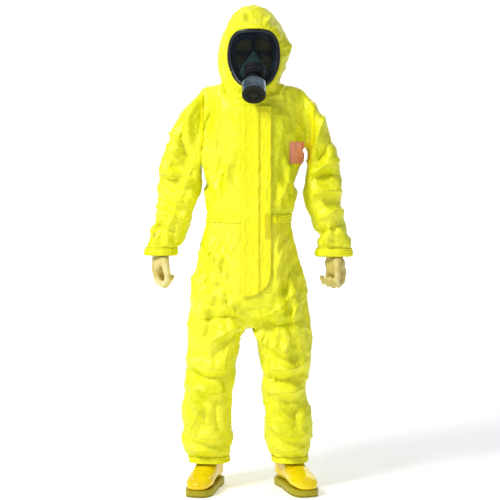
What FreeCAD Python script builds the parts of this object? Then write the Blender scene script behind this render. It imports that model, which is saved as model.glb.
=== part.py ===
"""Chemical protective suit as it is worn: hooded coverall, full-face respirator with one filter
canister, gloves and boots, standing empty on its soles.

Millimetres. +Z is up, the front faces -Y, and the wearer's right hand is on the -X side.
Shapes are first placed about the axis of the body, and export() then moves them so that the
origin is on the floor, below the middle of the whole suit.
"""
import FreeCAD, Part
import math
import os

from FreeCAD import Vector

os.makedirs("parts", exist_ok=True)

# ---- driving dimensions -------------------------------------------------------------------
X_MID = -4.0            # middle of the suit's width, from the body's axis
Y_MID = -53.0           # middle of its depth: the canister reaches further than the back
FABRIC = 3.0            # wall that stands for the coated fabric and its air
GAP = 0.3               # running gap between bodies

WAIST_Z = 1032.0        # middle of the waist elastic
ELASTIC_H = 26.0        # width of the waist elastic
NECK_Z = 1532.0         # neckline at the sides
SEAT_Z = 760.0          # where the trousers divide into two legs
CROTCH_Z = 640.0
ARMHOLE_X = {"right": -188.0, "left": 243.0}

ELBOW_Z = 1130.0
ELBOW_HALF = 68.0       # half the length of sleeve that folds at the elbow
UPPER_SLEEVE_Z = 1290.0
CUFF_Z = 918.0
CUFF_H = 24.0

KNEE_Z = 470.0
KNEE_HALF = 85.0
HEM_Z = 118.0
HEM_H = 18.0

HEAD_X = 16.0           # the head, mask and canister share this plane
HEAD_Y = 15.0
MASK_Z = 1615.0         # middle of the face piece
VISOR_R = 120.0         # the visor is bent round a vertical cylinder
VISOR_Y = -30.0         # that cylinder's axis

FLAP_LEFT = 80.0        # free edge of the storm flap
FLAP_HINGE_X = -29.0    # its sewn edge
FLAP_TOP = 1448.0
FLAP_BOTTOM = 745.0
FLAP_Y = -166.0         # outer face of the flap
ZIP_X = 29.0            # line of the zip
ZIP_HALF = 11.0         # half the width of the raised ridge over the zip


# ---- sections and lofts ---------------------------------------------------------------------
SECTION_POINTS = 16


def section(centre, half_width, half_depth, axis=Vector(0, 0, 1), power=2.3):
    """A closed round section across axis: half_depth lies along Y, half_width across it."""
    across = Vector(0, 1, 0).cross(axis).normalize()
    points = []
    for step in range(SECTION_POINTS):
        angle = 2 * math.pi * step / SECTION_POINTS
        c, s = math.cos(angle), math.sin(angle)
        u = math.copysign(abs(c) ** (2 / power), c) * half_width
        v = math.copysign(abs(s) ** (2 / power), s) * half_depth
        points.append(centre + across * u + Vector(0, v, 0))
    curve = Part.BSplineCurve()
    curve.interpolate(Points=points, PeriodicFlag=True)
    return Part.Wire(curve.toShape())


def loft(rows, shrink=0.0, ruled=False):
    """A solid through rows of (centre, half_width, half_depth[, axis])."""
    wires = []
    for row in rows:
        axis = row[3] if len(row) > 3 else Vector(0, 0, 1)
        wires.append(section(row[0], row[1] - shrink, row[2] - shrink, axis))
    solid = Part.makeLoft(wires, True, ruled)
    if solid.Volume < 0:
        solid.reverse()
    return solid


def tube(rows, wall=FABRIC, ruled=True):
    """An open-ended wall through rows, like a sleeve."""
    return loft(rows, 0, ruled).cut(loft(rows, wall, ruled))


def at(x, z, half_width, half_depth, y=0.0):
    return (Vector(x, y, z), half_width, half_depth)


def box(x0, x1, y0, y1, z0, z1):
    return Part.makeBox(x1 - x0, y1 - y0, z1 - z0, Vector(x0, y0, z0))


def rod(radius, length, base, direction):
    return Part.makeCylinder(radius, length, base, direction)


def ring(outer, inner, length, base, direction):
    return rod(outer, length, base, direction).cut(rod(inner, length, base, direction))


def export(name, shape):
    shape = shape.removeSplitter() if len(shape.Solids) == 1 else shape
    shape.translate(Vector(-X_MID, -Y_MID, 0))
    shape.exportStep("parts/" + name + ".step")
    spans = shape.optimalBoundingBox(False)
    print("%-22s solids %d  X %.0f..%.0f  Y %.0f..%.0f  Z %.0f..%.0f  valid %s" % (
        name, len(shape.Solids), spans.XMin, spans.XMax, spans.YMin, spans.YMax,
        spans.ZMin, spans.ZMax, shape.isValid()))


# ---- coverall: bodice -----------------------------------------------------------------------
# Two fronts and a back, joined at the sides; the armholes are cut by upright planes.
BODICE = [
    at(0, WAIST_Z + ELASTIC_H / 2, 153, 118),
    at(4, 1090, 172, 132),
    at(12, 1180, 178, 138),
    at(22, 1270, 198, 140),
    at(24, 1350, 236, 138),
    at(22, 1420, 250, 130),
    at(20, 1472, 242, 116),
    at(20, 1504, 212, 102),
    at(18, 1522, 170, 94),
    at(17, NECK_Z, 104, 88),
]
BIG = 900.0


def bodice():
    body = tube(BODICE, ruled=False)
    keep = box(ARMHOLE_X["right"], ARMHOLE_X["left"], -BIG, BIG, 0, 2 * BIG)
    return body.common(keep)


bodice_shell = bodice()
export("bodice_back", bodice_shell.common(box(-BIG, BIG, 0, BIG, 0, 2 * BIG)))
export("bodice_front_right", bodice_shell.common(box(-BIG, ZIP_X, -BIG, 0, 0, 2 * BIG)))
export("bodice_front_left", bodice_shell.common(box(ZIP_X, BIG, -BIG, 0, 0, 2 * BIG)))


# ---- coverall: waist and seat ---------------------------------------------------------------
SEAT = [
    at(-3, WAIST_Z - ELASTIC_H / 2, 151, 118),
    at(-13, 950, 197, 140),
    at(-5, 860, 216, 146),
    at(0, SEAT_Z, 229, 148),
]
WAIST = [
    at(-3, WAIST_Z - ELASTIC_H / 2, 151, 118),
    at(-1, WAIST_Z, 149, 116),
    at(0, WAIST_Z + ELASTIC_H / 2, 153, 118),
]
export("waist_elastic", tube(WAIST, FABRIC + 1, False))
export("trouser_seat", tube(SEAT, ruled=False))


# ---- coverall: sleeves ----------------------------------------------------------------------
# Each sleeve is a fold at the shoulder, an upper tube, a fold at the elbow and a lower tube.
SLEEVES = {
    "right": {
        "shoulder": (204, 78),
        "upper": [(-272, UPPER_SLEEVE_Z, 81, 78), (-273, 1240, 80, 74), (-271, 0, 77, 66)],
        "lower": [(-297, 0, 69, 60), (-316, 980, 63, 56), (-331, CUFF_Z, 56, 52)],
        "cuff": [(-331, 56, 52), (-335, 61, 56)],
    },
    "left": {
        "shoulder": (200, 78),
        "upper": [(298, UPPER_SLEEVE_Z, 52, 76), (293, 1240, 62, 74), (286, 0, 74, 66)],
        "lower": [(306, 0, 68, 60), (318, 980, 63, 56), (321, CUFF_Z, 60, 52)],
        "cuff": [(321, 60, 52), (321, 67, 56)],
    },
}


def armhole(side):
    """The upright section where the sleeve is set into the bodice."""
    sign = math.copysign(1, ARMHOLE_X[side])
    height, half_depth = SLEEVES[side]["shoulder"]
    centre = Vector(ARMHOLE_X[side] + sign * GAP, 0, UPPER_SLEEVE_Z + 10 + height / 2)
    return (centre, height / 2, half_depth, Vector(-sign, 0, 0))


def sleeve(side):
    rows = SLEEVES[side]
    top, bottom = ELBOW_Z + ELBOW_HALF, ELBOW_Z - ELBOW_HALF
    upper = [at(x, z or top, a, b) for x, z, a, b in rows["upper"]]
    lower = [at(x, z or bottom, a, b) for x, z, a, b in rows["lower"]]
    above = (upper[0][0] + Vector(0, 0, GAP),) + upper[0][1:]
    export(side + "_shoulder_fold", tube([armhole(side), above]))
    export(side + "_upper_sleeve", tube(upper))
    under_upper = (upper[-1][0] - Vector(0, 0, GAP),) + upper[-1][1:]
    over_lower = (lower[0][0] + Vector(0, 0, GAP),) + lower[0][1:]
    export(side + "_elbow_fold", tube([under_upper, over_lower]))
    export(side + "_lower_sleeve", tube(lower))
    (x0, a0, b0), (x1, a1, b1) = rows["cuff"]
    export(side + "_cuff_elastic", tube([at(x0, CUFF_Z, a0, b0), at(x1, CUFF_Z - CUFF_H, a1, b1)], FABRIC + 1))


# ---- gloves: moulded, in a loose fist --------------------------------------------------------
GLOVE_WALL = 3.0
GLOVE_ROWS = [(0, 955, 40, 36, 0), (0, 890, 38, 34, 0), (6, 850, 42, 46, -4), (8, 815, 42, 52, -8),
              (8, 788, 34, 42, -10), (8, 774, 14, 20, -10)]
THUMB_R = 13.5


def glove(side):
    sign = 1 if side == "right" else -1
    wrist_x = SLEEVES[side]["cuff"][0][0]
    rows = [at(wrist_x + sign * dx, z, a, b, y) for dx, z, a, b, y in GLOVE_ROWS]
    outer = loft(rows, 0, True)
    inner = loft(rows[:-1], GLOVE_WALL, True)
    base = Vector(wrist_x + sign * 30, -30, 858)
    tip = Vector(wrist_x + sign * 36, -44, 806)
    thumb = rod(THUMB_R, (tip - base).Length, base, tip - base)
    thumb = thumb.fuse([Part.makeSphere(THUMB_R, base), Part.makeSphere(THUMB_R, tip)])
    export(side + "_glove", outer.fuse(thumb).cut(inner))


for side_name in SLEEVES:
    sleeve(side_name)
    glove(side_name)


# ---- coverall: legs ---------------------------------------------------------------------------
LEGS = {
    "right": {
        "hip": [(-115.5, 0, 113.5, 140), (-122, 700, 116, 132)],
        "thigh": [(-134, 0, 111, 116), (-137, 600, 106, 108), (-139, 0, 104, 100)],
        "shin": [(-160, 0, 95, 92), (-165, 300, 99, 92), (-166, 160, 92, 88), (-151, HEM_Z, 77, 80)],
    },
    "left": {
        "hip": [(115.5, 0, 113.5, 140), (124, 700, 114, 132)],
        "thigh": [(134, 0, 110, 116), (135, 600, 107, 108), (135, 0, 106, 100)],
        "shin": [(130, 0, 92, 92), (145, 290, 97, 92), (148, 170, 86, 88), (154, HEM_Z, 70, 80)],
    },
}
BOOT_TURN = {"right": -14.0, "left": 20.0}     # toes turned out
ANKLE_X = {"right": -152.0, "left": 154.0}
SOLE_H = 28.0
SHAFT_TOP = 330.0
BOOT_WALL = 3.5
BOOT_ROWS = [(SOLE_H, -58, 50, 147), (58, -55, 50, 143), (82, -36, 46, 116), (96, -3, 46, 62),
             (140, 0, 48, 60), (SHAFT_TOP, 0, 56, 60)]


def leg(side):
    rows = LEGS[side]
    top, bottom = KNEE_Z + KNEE_HALF, KNEE_Z - KNEE_HALF
    hip = [at(rows["hip"][0][0], SEAT_Z - GAP, *rows["hip"][0][2:])] + [at(*row) for row in rows["hip"][1:]]
    thigh_zs = (CROTCH_Z, 600, top)
    thigh = [at(row[0], z, row[2], row[3]) for row, z in zip(rows["thigh"], thigh_zs)]
    shin = [at(x, z or bottom, a, b) for x, z, a, b in rows["shin"]]
    over_thigh = (thigh[0][0] + Vector(0, 0, GAP),) + thigh[0][1:]
    export(side + "_hip_fold", tube(hip + [over_thigh]))
    export(side + "_thigh", tube(thigh))
    under_thigh = (thigh[-1][0] - Vector(0, 0, GAP),) + thigh[-1][1:]
    over_shin = (shin[0][0] + Vector(0, 0, GAP),) + shin[0][1:]
    export(side + "_knee_fold", tube([under_thigh, over_shin]))
    export(side + "_shin", tube(shin))
    hem = shin[-1]
    low = (hem[0] - Vector(0, 0, HEM_H), hem[1] + 1, hem[2] + 1)
    export(side + "_ankle_elastic", tube([hem, low], FABRIC + 1))


def boot(side):
    def placed(shape):
        shape.rotate(Vector(0, 0, 0), Vector(0, 0, 1), BOOT_TURN[side])
        shape.translate(Vector(ANKLE_X[side], 0, 0))
        return shape

    rows = [at(0, z, a, b, y) for z, y, a, b in BOOT_ROWS]
    insole = 6
    inner = loft([at(0, z + (insole if z == SOLE_H else 0), a, b, y) for z, y, a, b in BOOT_ROWS],
                 BOOT_WALL, True)
    export(side + "_boot", placed(loft(rows, 0, True).cut(inner)))
    low = BOOT_ROWS[0]
    sole = Part.makeLoft([section(Vector(0, low[1], z), low[2] + grow, low[3] + grow)
                          for z, grow in ((0, 0), (12, 3), (SOLE_H, 2))], True, True)
    export(side + "_outsole", placed(sole))


for side_name in LEGS:
    leg(side_name)
    boot(side_name)


# ---- coverall: closure ------------------------------------------------------------------------
# The zip stands on a straight placket. The storm flap is sewn along its right edge, stands over
# the zip as a ridge, and is held by a seal strip along its left edge.
PLACKET_Y = FLAP_Y + 12.0        # front face of the placket, behind the flap
FLAP_T = 2.0
RIDGE = 5.5                      # how far the ridge stands up
TAPE_Y = PLACKET_Y
ZIP_TOP = 1433.0
ZIP_BOTTOM = 775.0
SLIDER_H = 20.0


def closure():
    solid = loft(BODICE).fuse([loft(SEAT), loft(WAIST)])
    back = box(FLAP_HINGE_X, FLAP_LEFT, PLACKET_Y, 0, SEAT_Z + 1, FLAP_TOP)
    skin = box(FLAP_HINGE_X + 4, FLAP_LEFT - 4, PLACKET_Y + 3, 0, SEAT_Z + 5, FLAP_TOP - 4)
    placket = back.cut(skin).cut(solid)
    placket = max(placket.Solids, key=lambda s: s.Volume)
    export("placket", placket)

    flap_face = box(FLAP_HINGE_X, FLAP_LEFT, FLAP_Y + RIDGE, FLAP_Y + RIDGE + FLAP_T,
                    FLAP_BOTTOM, FLAP_TOP)
    ridge_out = box(ZIP_X - ZIP_HALF, ZIP_X + ZIP_HALF, FLAP_Y, FLAP_Y + RIDGE + FLAP_T,
                    FLAP_BOTTOM, FLAP_TOP)
    ridge_in = box(ZIP_X - ZIP_HALF + FLAP_T, ZIP_X + ZIP_HALF - FLAP_T, FLAP_Y + FLAP_T,
                   FLAP_Y + RIDGE + FLAP_T, FLAP_BOTTOM + 12, FLAP_TOP)
    export("storm_flap", flap_face.fuse(ridge_out).cut(ridge_in))

    strip_x = FLAP_LEFT - 20
    strip_back = FLAP_Y + RIDGE + FLAP_T
    export("flap_seal_strip", box(strip_x, FLAP_LEFT - 2, strip_back, strip_back + 1.2,
                                  FLAP_BOTTOM + 10, FLAP_TOP - 10))
    export("placket_seal_strip", box(strip_x, FLAP_LEFT - 2, strip_back + 1.2 + GAP, PLACKET_Y,
                                     SEAT_Z + 2, FLAP_TOP - 10))

    tape_t = 0.8
    export("zip_tape", box(ZIP_X - 15, ZIP_X + 15, TAPE_Y - tape_t, TAPE_Y, ZIP_BOTTOM - 15, ZIP_TOP + 10))
    teeth_y = TAPE_Y - tape_t
    teeth = box(ZIP_X - 3.5, ZIP_X + 3.5, teeth_y - 1.6, teeth_y, ZIP_BOTTOM, ZIP_TOP)
    stops = box(ZIP_X - 4, ZIP_X + 4, teeth_y - 2.4, teeth_y, ZIP_BOTTOM - 6, ZIP_BOTTOM)
    for offset in (-6.5, 2.5):
        stops = stops.fuse(box(ZIP_X + offset, ZIP_X + offset + 4, teeth_y - 2.2, teeth_y,
                               ZIP_TOP, ZIP_TOP + 5))
    export("zip_teeth", teeth.fuse(stops))

    slider_front = teeth_y - 1.6 - GAP
    slider = box(ZIP_X - 6.5, ZIP_X + 6.5, slider_front - 1.4, slider_front, ZIP_TOP - SLIDER_H, ZIP_TOP)
    for offset in (-6.5, 4.5):
        slider = slider.fuse(box(ZIP_X + offset, ZIP_X + offset + 2, slider_front, teeth_y - GAP,
                                 ZIP_TOP - SLIDER_H, ZIP_TOP))
    lug = ring(2.2, 1.1, 3, Vector(ZIP_X - 1.5, slider_front - 1.9, ZIP_TOP - 12), Vector(1, 0, 0))
    lug = lug.common(box(ZIP_X - 2, ZIP_X + 2, slider_front - 6, slider_front - 1.4, ZIP_BOTTOM, ZIP_TOP))
    export("zip_slider", slider.fuse(lug))
    pull_y = slider_front - 1.4 - GAP
    export("zip_puller", box(ZIP_X - 4, ZIP_X + 4, pull_y - 1.0, pull_y, ZIP_TOP - 48, ZIP_TOP - 15))


closure()

# The chest label is a plain bonded patch; the waist tab is the folded end of the elastic.
LABEL = box(149, 206, -BIG, 0, 1236, 1317)
TAB = box(84, 115, -BIG, 0, 1020, 1040)
PATCH_T = 0.8


def patch(window, rows):
    grown = loft([(r[0], r[1] + PATCH_T, r[2] + PATCH_T) for r in rows])
    return grown.cut(loft(rows)).common(window)


export("chest_label", patch(LABEL, BODICE))
export("waist_tab", patch(TAB, WAIST))


# ---- hood -------------------------------------------------------------------------------------
def head_row(z, half_width, half_depth, x=HEAD_X, y=HEAD_Y):
    return at(x, z, half_width, half_depth, y)


HOOD = [
    head_row(1556, 100, 98, y=8),
    head_row(1600, 122, 124),
    head_row(1650, 134, 138),
    head_row(1690, 134, 138),
    head_row(1737, 112, 122),
    head_row(1785, 80, 90),
    head_row(1812, 50, 58),
    head_row(1829, 16, 20),
]
MASK_OUTLINE = [(0, 107), (62, 101), (90, 65), (97, 1), (80, -59), (46, -99), (0, -110)]


def mask_window(offset, y0=-BIG, y1=0.0):
    """A prism along Y with the face piece's outline, pulled in by offset."""
    wide, high = 97.0, 108.0
    half = [(x * (wide - offset) / wide, z * (high - offset) / high) for x, z in MASK_OUTLINE]
    full = half + [(-x, z) for x, z in reversed(half[1:-1])]
    curve = Part.BSplineCurve()
    curve.interpolate(Points=[Vector(HEAD_X + x, y0, MASK_Z + z) for x, z in full], PeriodicFlag=True)
    return Part.Face(Part.Wire(curve.toShape())).extrude(Vector(0, y1 - y0, 0))


NECK = [
    at(17, NECK_Z + GAP, 104, 88),
    head_row(1556 - GAP, 100, 98, y=8),
]
hood_solid = loft(HOOD)
hood_cavity = loft(HOOD[:-1] + [head_row(1829 - FABRIC, 19, 23)], FABRIC)
export("neck_fold", tube(NECK))
export("hood", hood_solid.cut(hood_cavity).cut(mask_window(-9)))
rim_out = loft([(r[0], r[1] + 4, r[2] + 4) for r in HOOD])
rim_in = loft([(r[0], r[1] - 4, r[2] - 4) for r in HOOD])
rim_band = mask_window(-8.7).cut(mask_window(-3))
rim_clear = box(-BIG, BIG, -BIG, BIG, 1560, 2 * BIG)
export("hood_face_elastic", rim_out.cut(rim_in).common(rim_band).common(rim_clear))


# ---- respirator face piece --------------------------------------------------------------------
PORT_AXIS = Vector(0, -0.68, -0.733).normalize()
PORT_C = Vector(HEAD_X, -150, 1568)      # where the port's axis meets the visor
VISOR_T = 2.5
RIM = 11.0                               # width of the frame round the visor
SEAL_BACK = -55.0
COLLAR_R, PORT_R, THREAD_R = 36.0, 27.0, 20.0
COLLAR_L, PORT_L = 14.0, 58.0


def round_the_face(outer, inner):
    low, high = Vector(HEAD_X, VISOR_Y, 1400), 500
    return rod(outer, high, low, Vector(0, 0, 1)).cut(rod(inner, high, low, Vector(0, 0, 1)))


port_clear = rod(COLLAR_R + 1 + GAP, 120, PORT_C - PORT_AXIS * 40, PORT_AXIS)
visor = round_the_face(VISOR_R, VISOR_R - VISOR_T).common(mask_window(RIM + 0.2, y1=VISOR_Y)).cut(port_clear)
export("visor", visor)
frame = round_the_face(VISOR_R + 4, VISOR_R - 7).common(mask_window(0, y1=VISOR_Y))
export("visor_frame", frame.cut(mask_window(RIM)).cut(port_clear))
inside = rod(VISOR_R - 7.2, 500, Vector(HEAD_X, VISOR_Y, 1400), Vector(0, 0, 1))
skirt = mask_window(2, y1=SEAL_BACK).cut(mask_window(6)).common(inside)
lip = mask_window(6, SEAL_BACK - 3, SEAL_BACK).cut(mask_window(26))
# The skirt stops above the neckline, where the chin strap of a real one turns in.
CHIN_Z, CHIN_Y = 1562.0, -136.0
chin_clear = box(-BIG, BIG, CHIN_Y, BIG, 0, CHIN_Z)
export("face_seal", skirt.fuse(lip).cut(port_clear).cut(chin_clear))

NOSE = [(-58, 1602, 50, 40), (-84, 1598, 40, 37), (-104, 1590, 25, 26)]


def along_y(rows, shrink=0.0):
    wires = []
    for y, z, a, b in rows:
        curve = Part.BSplineCurve()
        points = [Vector(HEAD_X + (a - shrink) * math.cos(t), y, z + (b - shrink) * math.sin(t))
                  for t in (2 * math.pi * k / SECTION_POINTS for k in range(SECTION_POINTS))]
        curve.interpolate(Points=points, PeriodicFlag=True)
        wires.append(Part.Wire(curve.toShape()))
    return Part.makeLoft(wires, True, False)


export("nose_cup", along_y(NOSE).cut(along_y(NOSE, 2.5)))
# The port stands on a flange. Round the port the flange holds a ring-shaped outlet valve, under a
# ribbed cover that a nut clamps.
FLANGE_IN, FLANGE_OUT = 24.0, 2.0
port_start = PORT_C - PORT_AXIS * FLANGE_IN
bore_r = THREAD_R + GAP
port = rod(COLLAR_R, FLANGE_IN + FLANGE_OUT, port_start, PORT_AXIS)
port = port.fuse(rod(PORT_R, FLANGE_IN + PORT_L - 12, port_start, PORT_AXIS))
port = port.cut(rod(bore_r, 200, port_start - PORT_AXIS * 20, PORT_AXIS))
sideways = Vector(1, 0, 0)
upward = PORT_AXIS.cross(sideways).normalize()
OUTLETS = 4
for turn in range(OUTLETS):
    angle = 2 * math.pi * turn / OUTLETS
    spoke = sideways * math.cos(angle) + upward * math.sin(angle)
    port = port.cut(rod(2, 100, port_start - PORT_AXIS * 5 + spoke * 30.5, PORT_AXIS))
export("filter_port", port)
cover_at = PORT_C + PORT_AXIS * FLANGE_OUT
cover_l = COLLAR_L - FLANGE_OUT
cover = ring(COLLAR_R + 1, PORT_R + 0.02, cover_l, cover_at, PORT_AXIS)
cover = cover.cut(rod(COLLAR_R - 2, cover_l - 3, cover_at, PORT_AXIS))
VENTS = 20
for turn in range(VENTS):
    vent = Part.makeBox(8, 3, 6, Vector(COLLAR_R - 4, -1.5, 2))
    vent.rotate(Vector(0, 0, 0), Vector(0, 0, 1), 360 * turn / VENTS)
    vent.Placement = FreeCAD.Placement(cover_at, FreeCAD.Rotation(Vector(0, 0, 1), PORT_AXIS)).multiply(
        vent.Placement)
    cover = cover.cut(vent)
export("exhale_cover", cover)
DISC_T = 1.2
export("exhale_disc", ring(COLLAR_R - 2.6, PORT_R + GAP, DISC_T, cover_at + PORT_AXIS * 0.1, PORT_AXIS))
export("port_nut", ring(PORT_R + 7, PORT_R + 0.02, 12, PORT_C + PORT_AXIS * COLLAR_L, PORT_AXIS))
inhale_at = port_start + PORT_AXIS * 4
export("inhale_valve", ring(bore_r, 3, DISC_T, inhale_at, PORT_AXIS))


# ---- filter canister ---------------------------------------------------------------------------
CAN_R, CAN_L = 44.0, 50.0
CAN_WALL = 1.2
FRONT_T = 4.0
can_back = PORT_C + PORT_AXIS * PORT_L
washer_t = 2.0
spigot_l = 12.0

can = rod(CAN_R, CAN_L, can_back + PORT_AXIS * 4, PORT_AXIS)
for groove in range(4):
    cut_at = can_back + PORT_AXIS * (10 + 9 * groove)
    can = can.cut(ring(CAN_R + 1, CAN_R - 1.0, 3, cut_at, PORT_AXIS))
inside_at = can_back + PORT_AXIS * (4 + 2)
can = can.cut(rod(CAN_R - 2 - CAN_WALL, CAN_L, inside_at, PORT_AXIS))
spigot_base = can_back + PORT_AXIS * (4 - 3 - spigot_l)
spigot = rod(THREAD_R, spigot_l + 4, spigot_base, PORT_AXIS)
can = can.fuse(spigot).cut(rod(THREAD_R - 4, spigot_l + 10, spigot_base, PORT_AXIS))
export("canister_body", can)
export("canister_washer", ring(PORT_R - 1, THREAD_R + GAP, washer_t, can_back + PORT_AXIS * (4 - washer_t - GAP),
                               PORT_AXIS))
front_at = can_back + PORT_AXIS * (4 + CAN_L)
front = rod(CAN_R - 1, FRONT_T, front_at, PORT_AXIS)
front = front.fuse(rod(6, 2, front_at + PORT_AXIS * FRONT_T, PORT_AXIS))
SLOTS = 24
for turn in range(SLOTS):
    slot = Part.makeBox(24, 2.4, FRONT_T + 2, Vector(13, -1.2, -1))
    slot.rotate(Vector(0, 0, 0), Vector(0, 0, 1), 360 * turn / SLOTS)
    slot.Placement = FreeCAD.Placement(front_at, FreeCAD.Rotation(Vector(0, 0, 1), PORT_AXIS)).multiply(
        slot.Placement)
    front = front.cut(slot)
export("canister_front", front)
bed_at = inside_at + PORT_AXIS * 1.0
export("particle_filter", rod(CAN_R - 4, 14, bed_at, PORT_AXIS))
export("carbon_bed", rod(CAN_R - 4, 28, bed_at + PORT_AXIS * 15, PORT_AXIS))


# ---- head harness --------------------------------------------------------------------------------
STRAP_T, STRAP_W = 2.0, 19.0
STRAP_FRONT = -50.0


def level_strap(z, half_width, half_depth):
    low, high = z - STRAP_W / 2, z + STRAP_W / 2
    rows = [head_row(low, half_width, half_depth), head_row(high, half_width, half_depth)]
    return tube(rows, STRAP_T).common(box(-BIG, BIG, STRAP_FRONT, BIG, 0, 2 * BIG))


LOW_STRAP = (1590, 88, 102)
HIGH_STRAP = (1660, 96, 112)
crown = rod(112, STRAP_W, Vector(HEAD_X - STRAP_W / 2, HEAD_Y, 1655), Vector(1, 0, 0))
crown = crown.cut(rod(112 - STRAP_T, STRAP_W, Vector(HEAD_X - STRAP_W / 2, HEAD_Y, 1655), Vector(1, 0, 0)))
crown = crown.common(box(-BIG, BIG, STRAP_FRONT, BIG, 1660 + STRAP_W / 2, 2 * BIG))
pad = rod(30, 3, Vector(HEAD_X, HEAD_Y + 109, 1640), Vector(0, 1, 0))
export("head_harness", Part.makeCompound([level_strap(*HIGH_STRAP), level_strap(*LOW_STRAP), crown, pad]))
buckles = []
for strap_z, strap_a, strap_b in (HIGH_STRAP, LOW_STRAP):
    buckle_x = strap_a * (1 - ((HEAD_Y - STRAP_FRONT) / strap_b) ** 2.3) ** (1 / 2.3) - 3
    for sign in (-1, 1):
        mid = HEAD_X + sign * buckle_x
        buckles.append(box(mid - 4, mid + 4, STRAP_FRONT - 4.6, STRAP_FRONT - 0.1, strap_z - 13, strap_z + 13))
export("harness_buckles", Part.makeCompound(buckles))
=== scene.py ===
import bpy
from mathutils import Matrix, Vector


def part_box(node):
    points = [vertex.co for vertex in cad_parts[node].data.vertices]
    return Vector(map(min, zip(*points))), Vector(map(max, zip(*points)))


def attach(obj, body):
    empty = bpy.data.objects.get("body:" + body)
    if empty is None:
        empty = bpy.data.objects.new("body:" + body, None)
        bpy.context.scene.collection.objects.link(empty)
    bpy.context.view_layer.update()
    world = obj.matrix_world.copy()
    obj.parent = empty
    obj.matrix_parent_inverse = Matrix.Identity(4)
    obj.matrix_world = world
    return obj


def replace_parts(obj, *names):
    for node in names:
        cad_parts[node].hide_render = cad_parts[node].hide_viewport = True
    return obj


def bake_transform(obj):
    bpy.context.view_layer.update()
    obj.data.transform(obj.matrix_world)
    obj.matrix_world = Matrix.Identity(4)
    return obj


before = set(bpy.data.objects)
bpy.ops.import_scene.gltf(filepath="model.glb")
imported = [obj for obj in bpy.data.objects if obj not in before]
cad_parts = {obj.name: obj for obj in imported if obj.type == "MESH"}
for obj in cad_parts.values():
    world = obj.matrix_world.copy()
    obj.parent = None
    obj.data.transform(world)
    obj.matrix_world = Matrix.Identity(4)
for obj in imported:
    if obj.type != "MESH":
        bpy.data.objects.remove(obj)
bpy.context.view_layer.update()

import math

import bmesh
import bpy
import numpy as np
from mathutils import Matrix, Vector


# Camera, light and floor.
# A person-high view from about five and a half metres, under a large soft light from above left.
EYE = Vector((0.0, -5.5, 1.25))
AIM = Vector((0.006, 0.0, 0.912))
cam_data = bpy.data.cameras.new("camera")
cam_data.lens_unit = "FOV"
cam_data.angle = math.radians(19.35)
camera = bpy.data.objects.new("camera", cam_data)
bpy.context.collection.objects.link(camera)
camera.location = EYE
camera.rotation_euler = (AIM - EYE).to_track_quat("-Z", "Y").to_euler()
bpy.context.scene.camera = camera
bpy.context.scene.view_settings.view_transform = "Standard"
bpy.context.scene.view_settings.gamma = 0.82
bpy.context.scene.view_settings.exposure = 0.08


def area_light(name, place, aim, size, watts, colour=(1, 1, 1)):
    lamp = bpy.data.lights.new(name, "AREA")
    lamp.shape = "DISK"
    lamp.size = size
    lamp.energy = watts
    lamp.color = colour
    holder = bpy.data.objects.new(name, lamp)
    bpy.context.collection.objects.link(holder)
    holder.location = place
    holder.rotation_euler = (Vector(aim) - Vector(place)).to_track_quat("-Z", "Y").to_euler()


area_light("key_light", (-2.3, -2.2, 3.7), (0, 0, 1.1), 1.3, 118)
area_light("fill_light", (3.2, -3.6, 1.6), (0, 0, 0.9), 2.6, 8)
area_light("rim_light", (1.5, 3.4, 2.8), (0, 0, 1.1), 2.0, 10)

world = bpy.data.worlds.new("studio")
bpy.context.scene.world = world
world.use_nodes = True
world.node_tree.nodes["Background"].inputs["Color"].default_value = (0.93, 0.95, 1.0, 1)
world.node_tree.nodes["Background"].inputs["Strength"].default_value = 0.42


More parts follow.
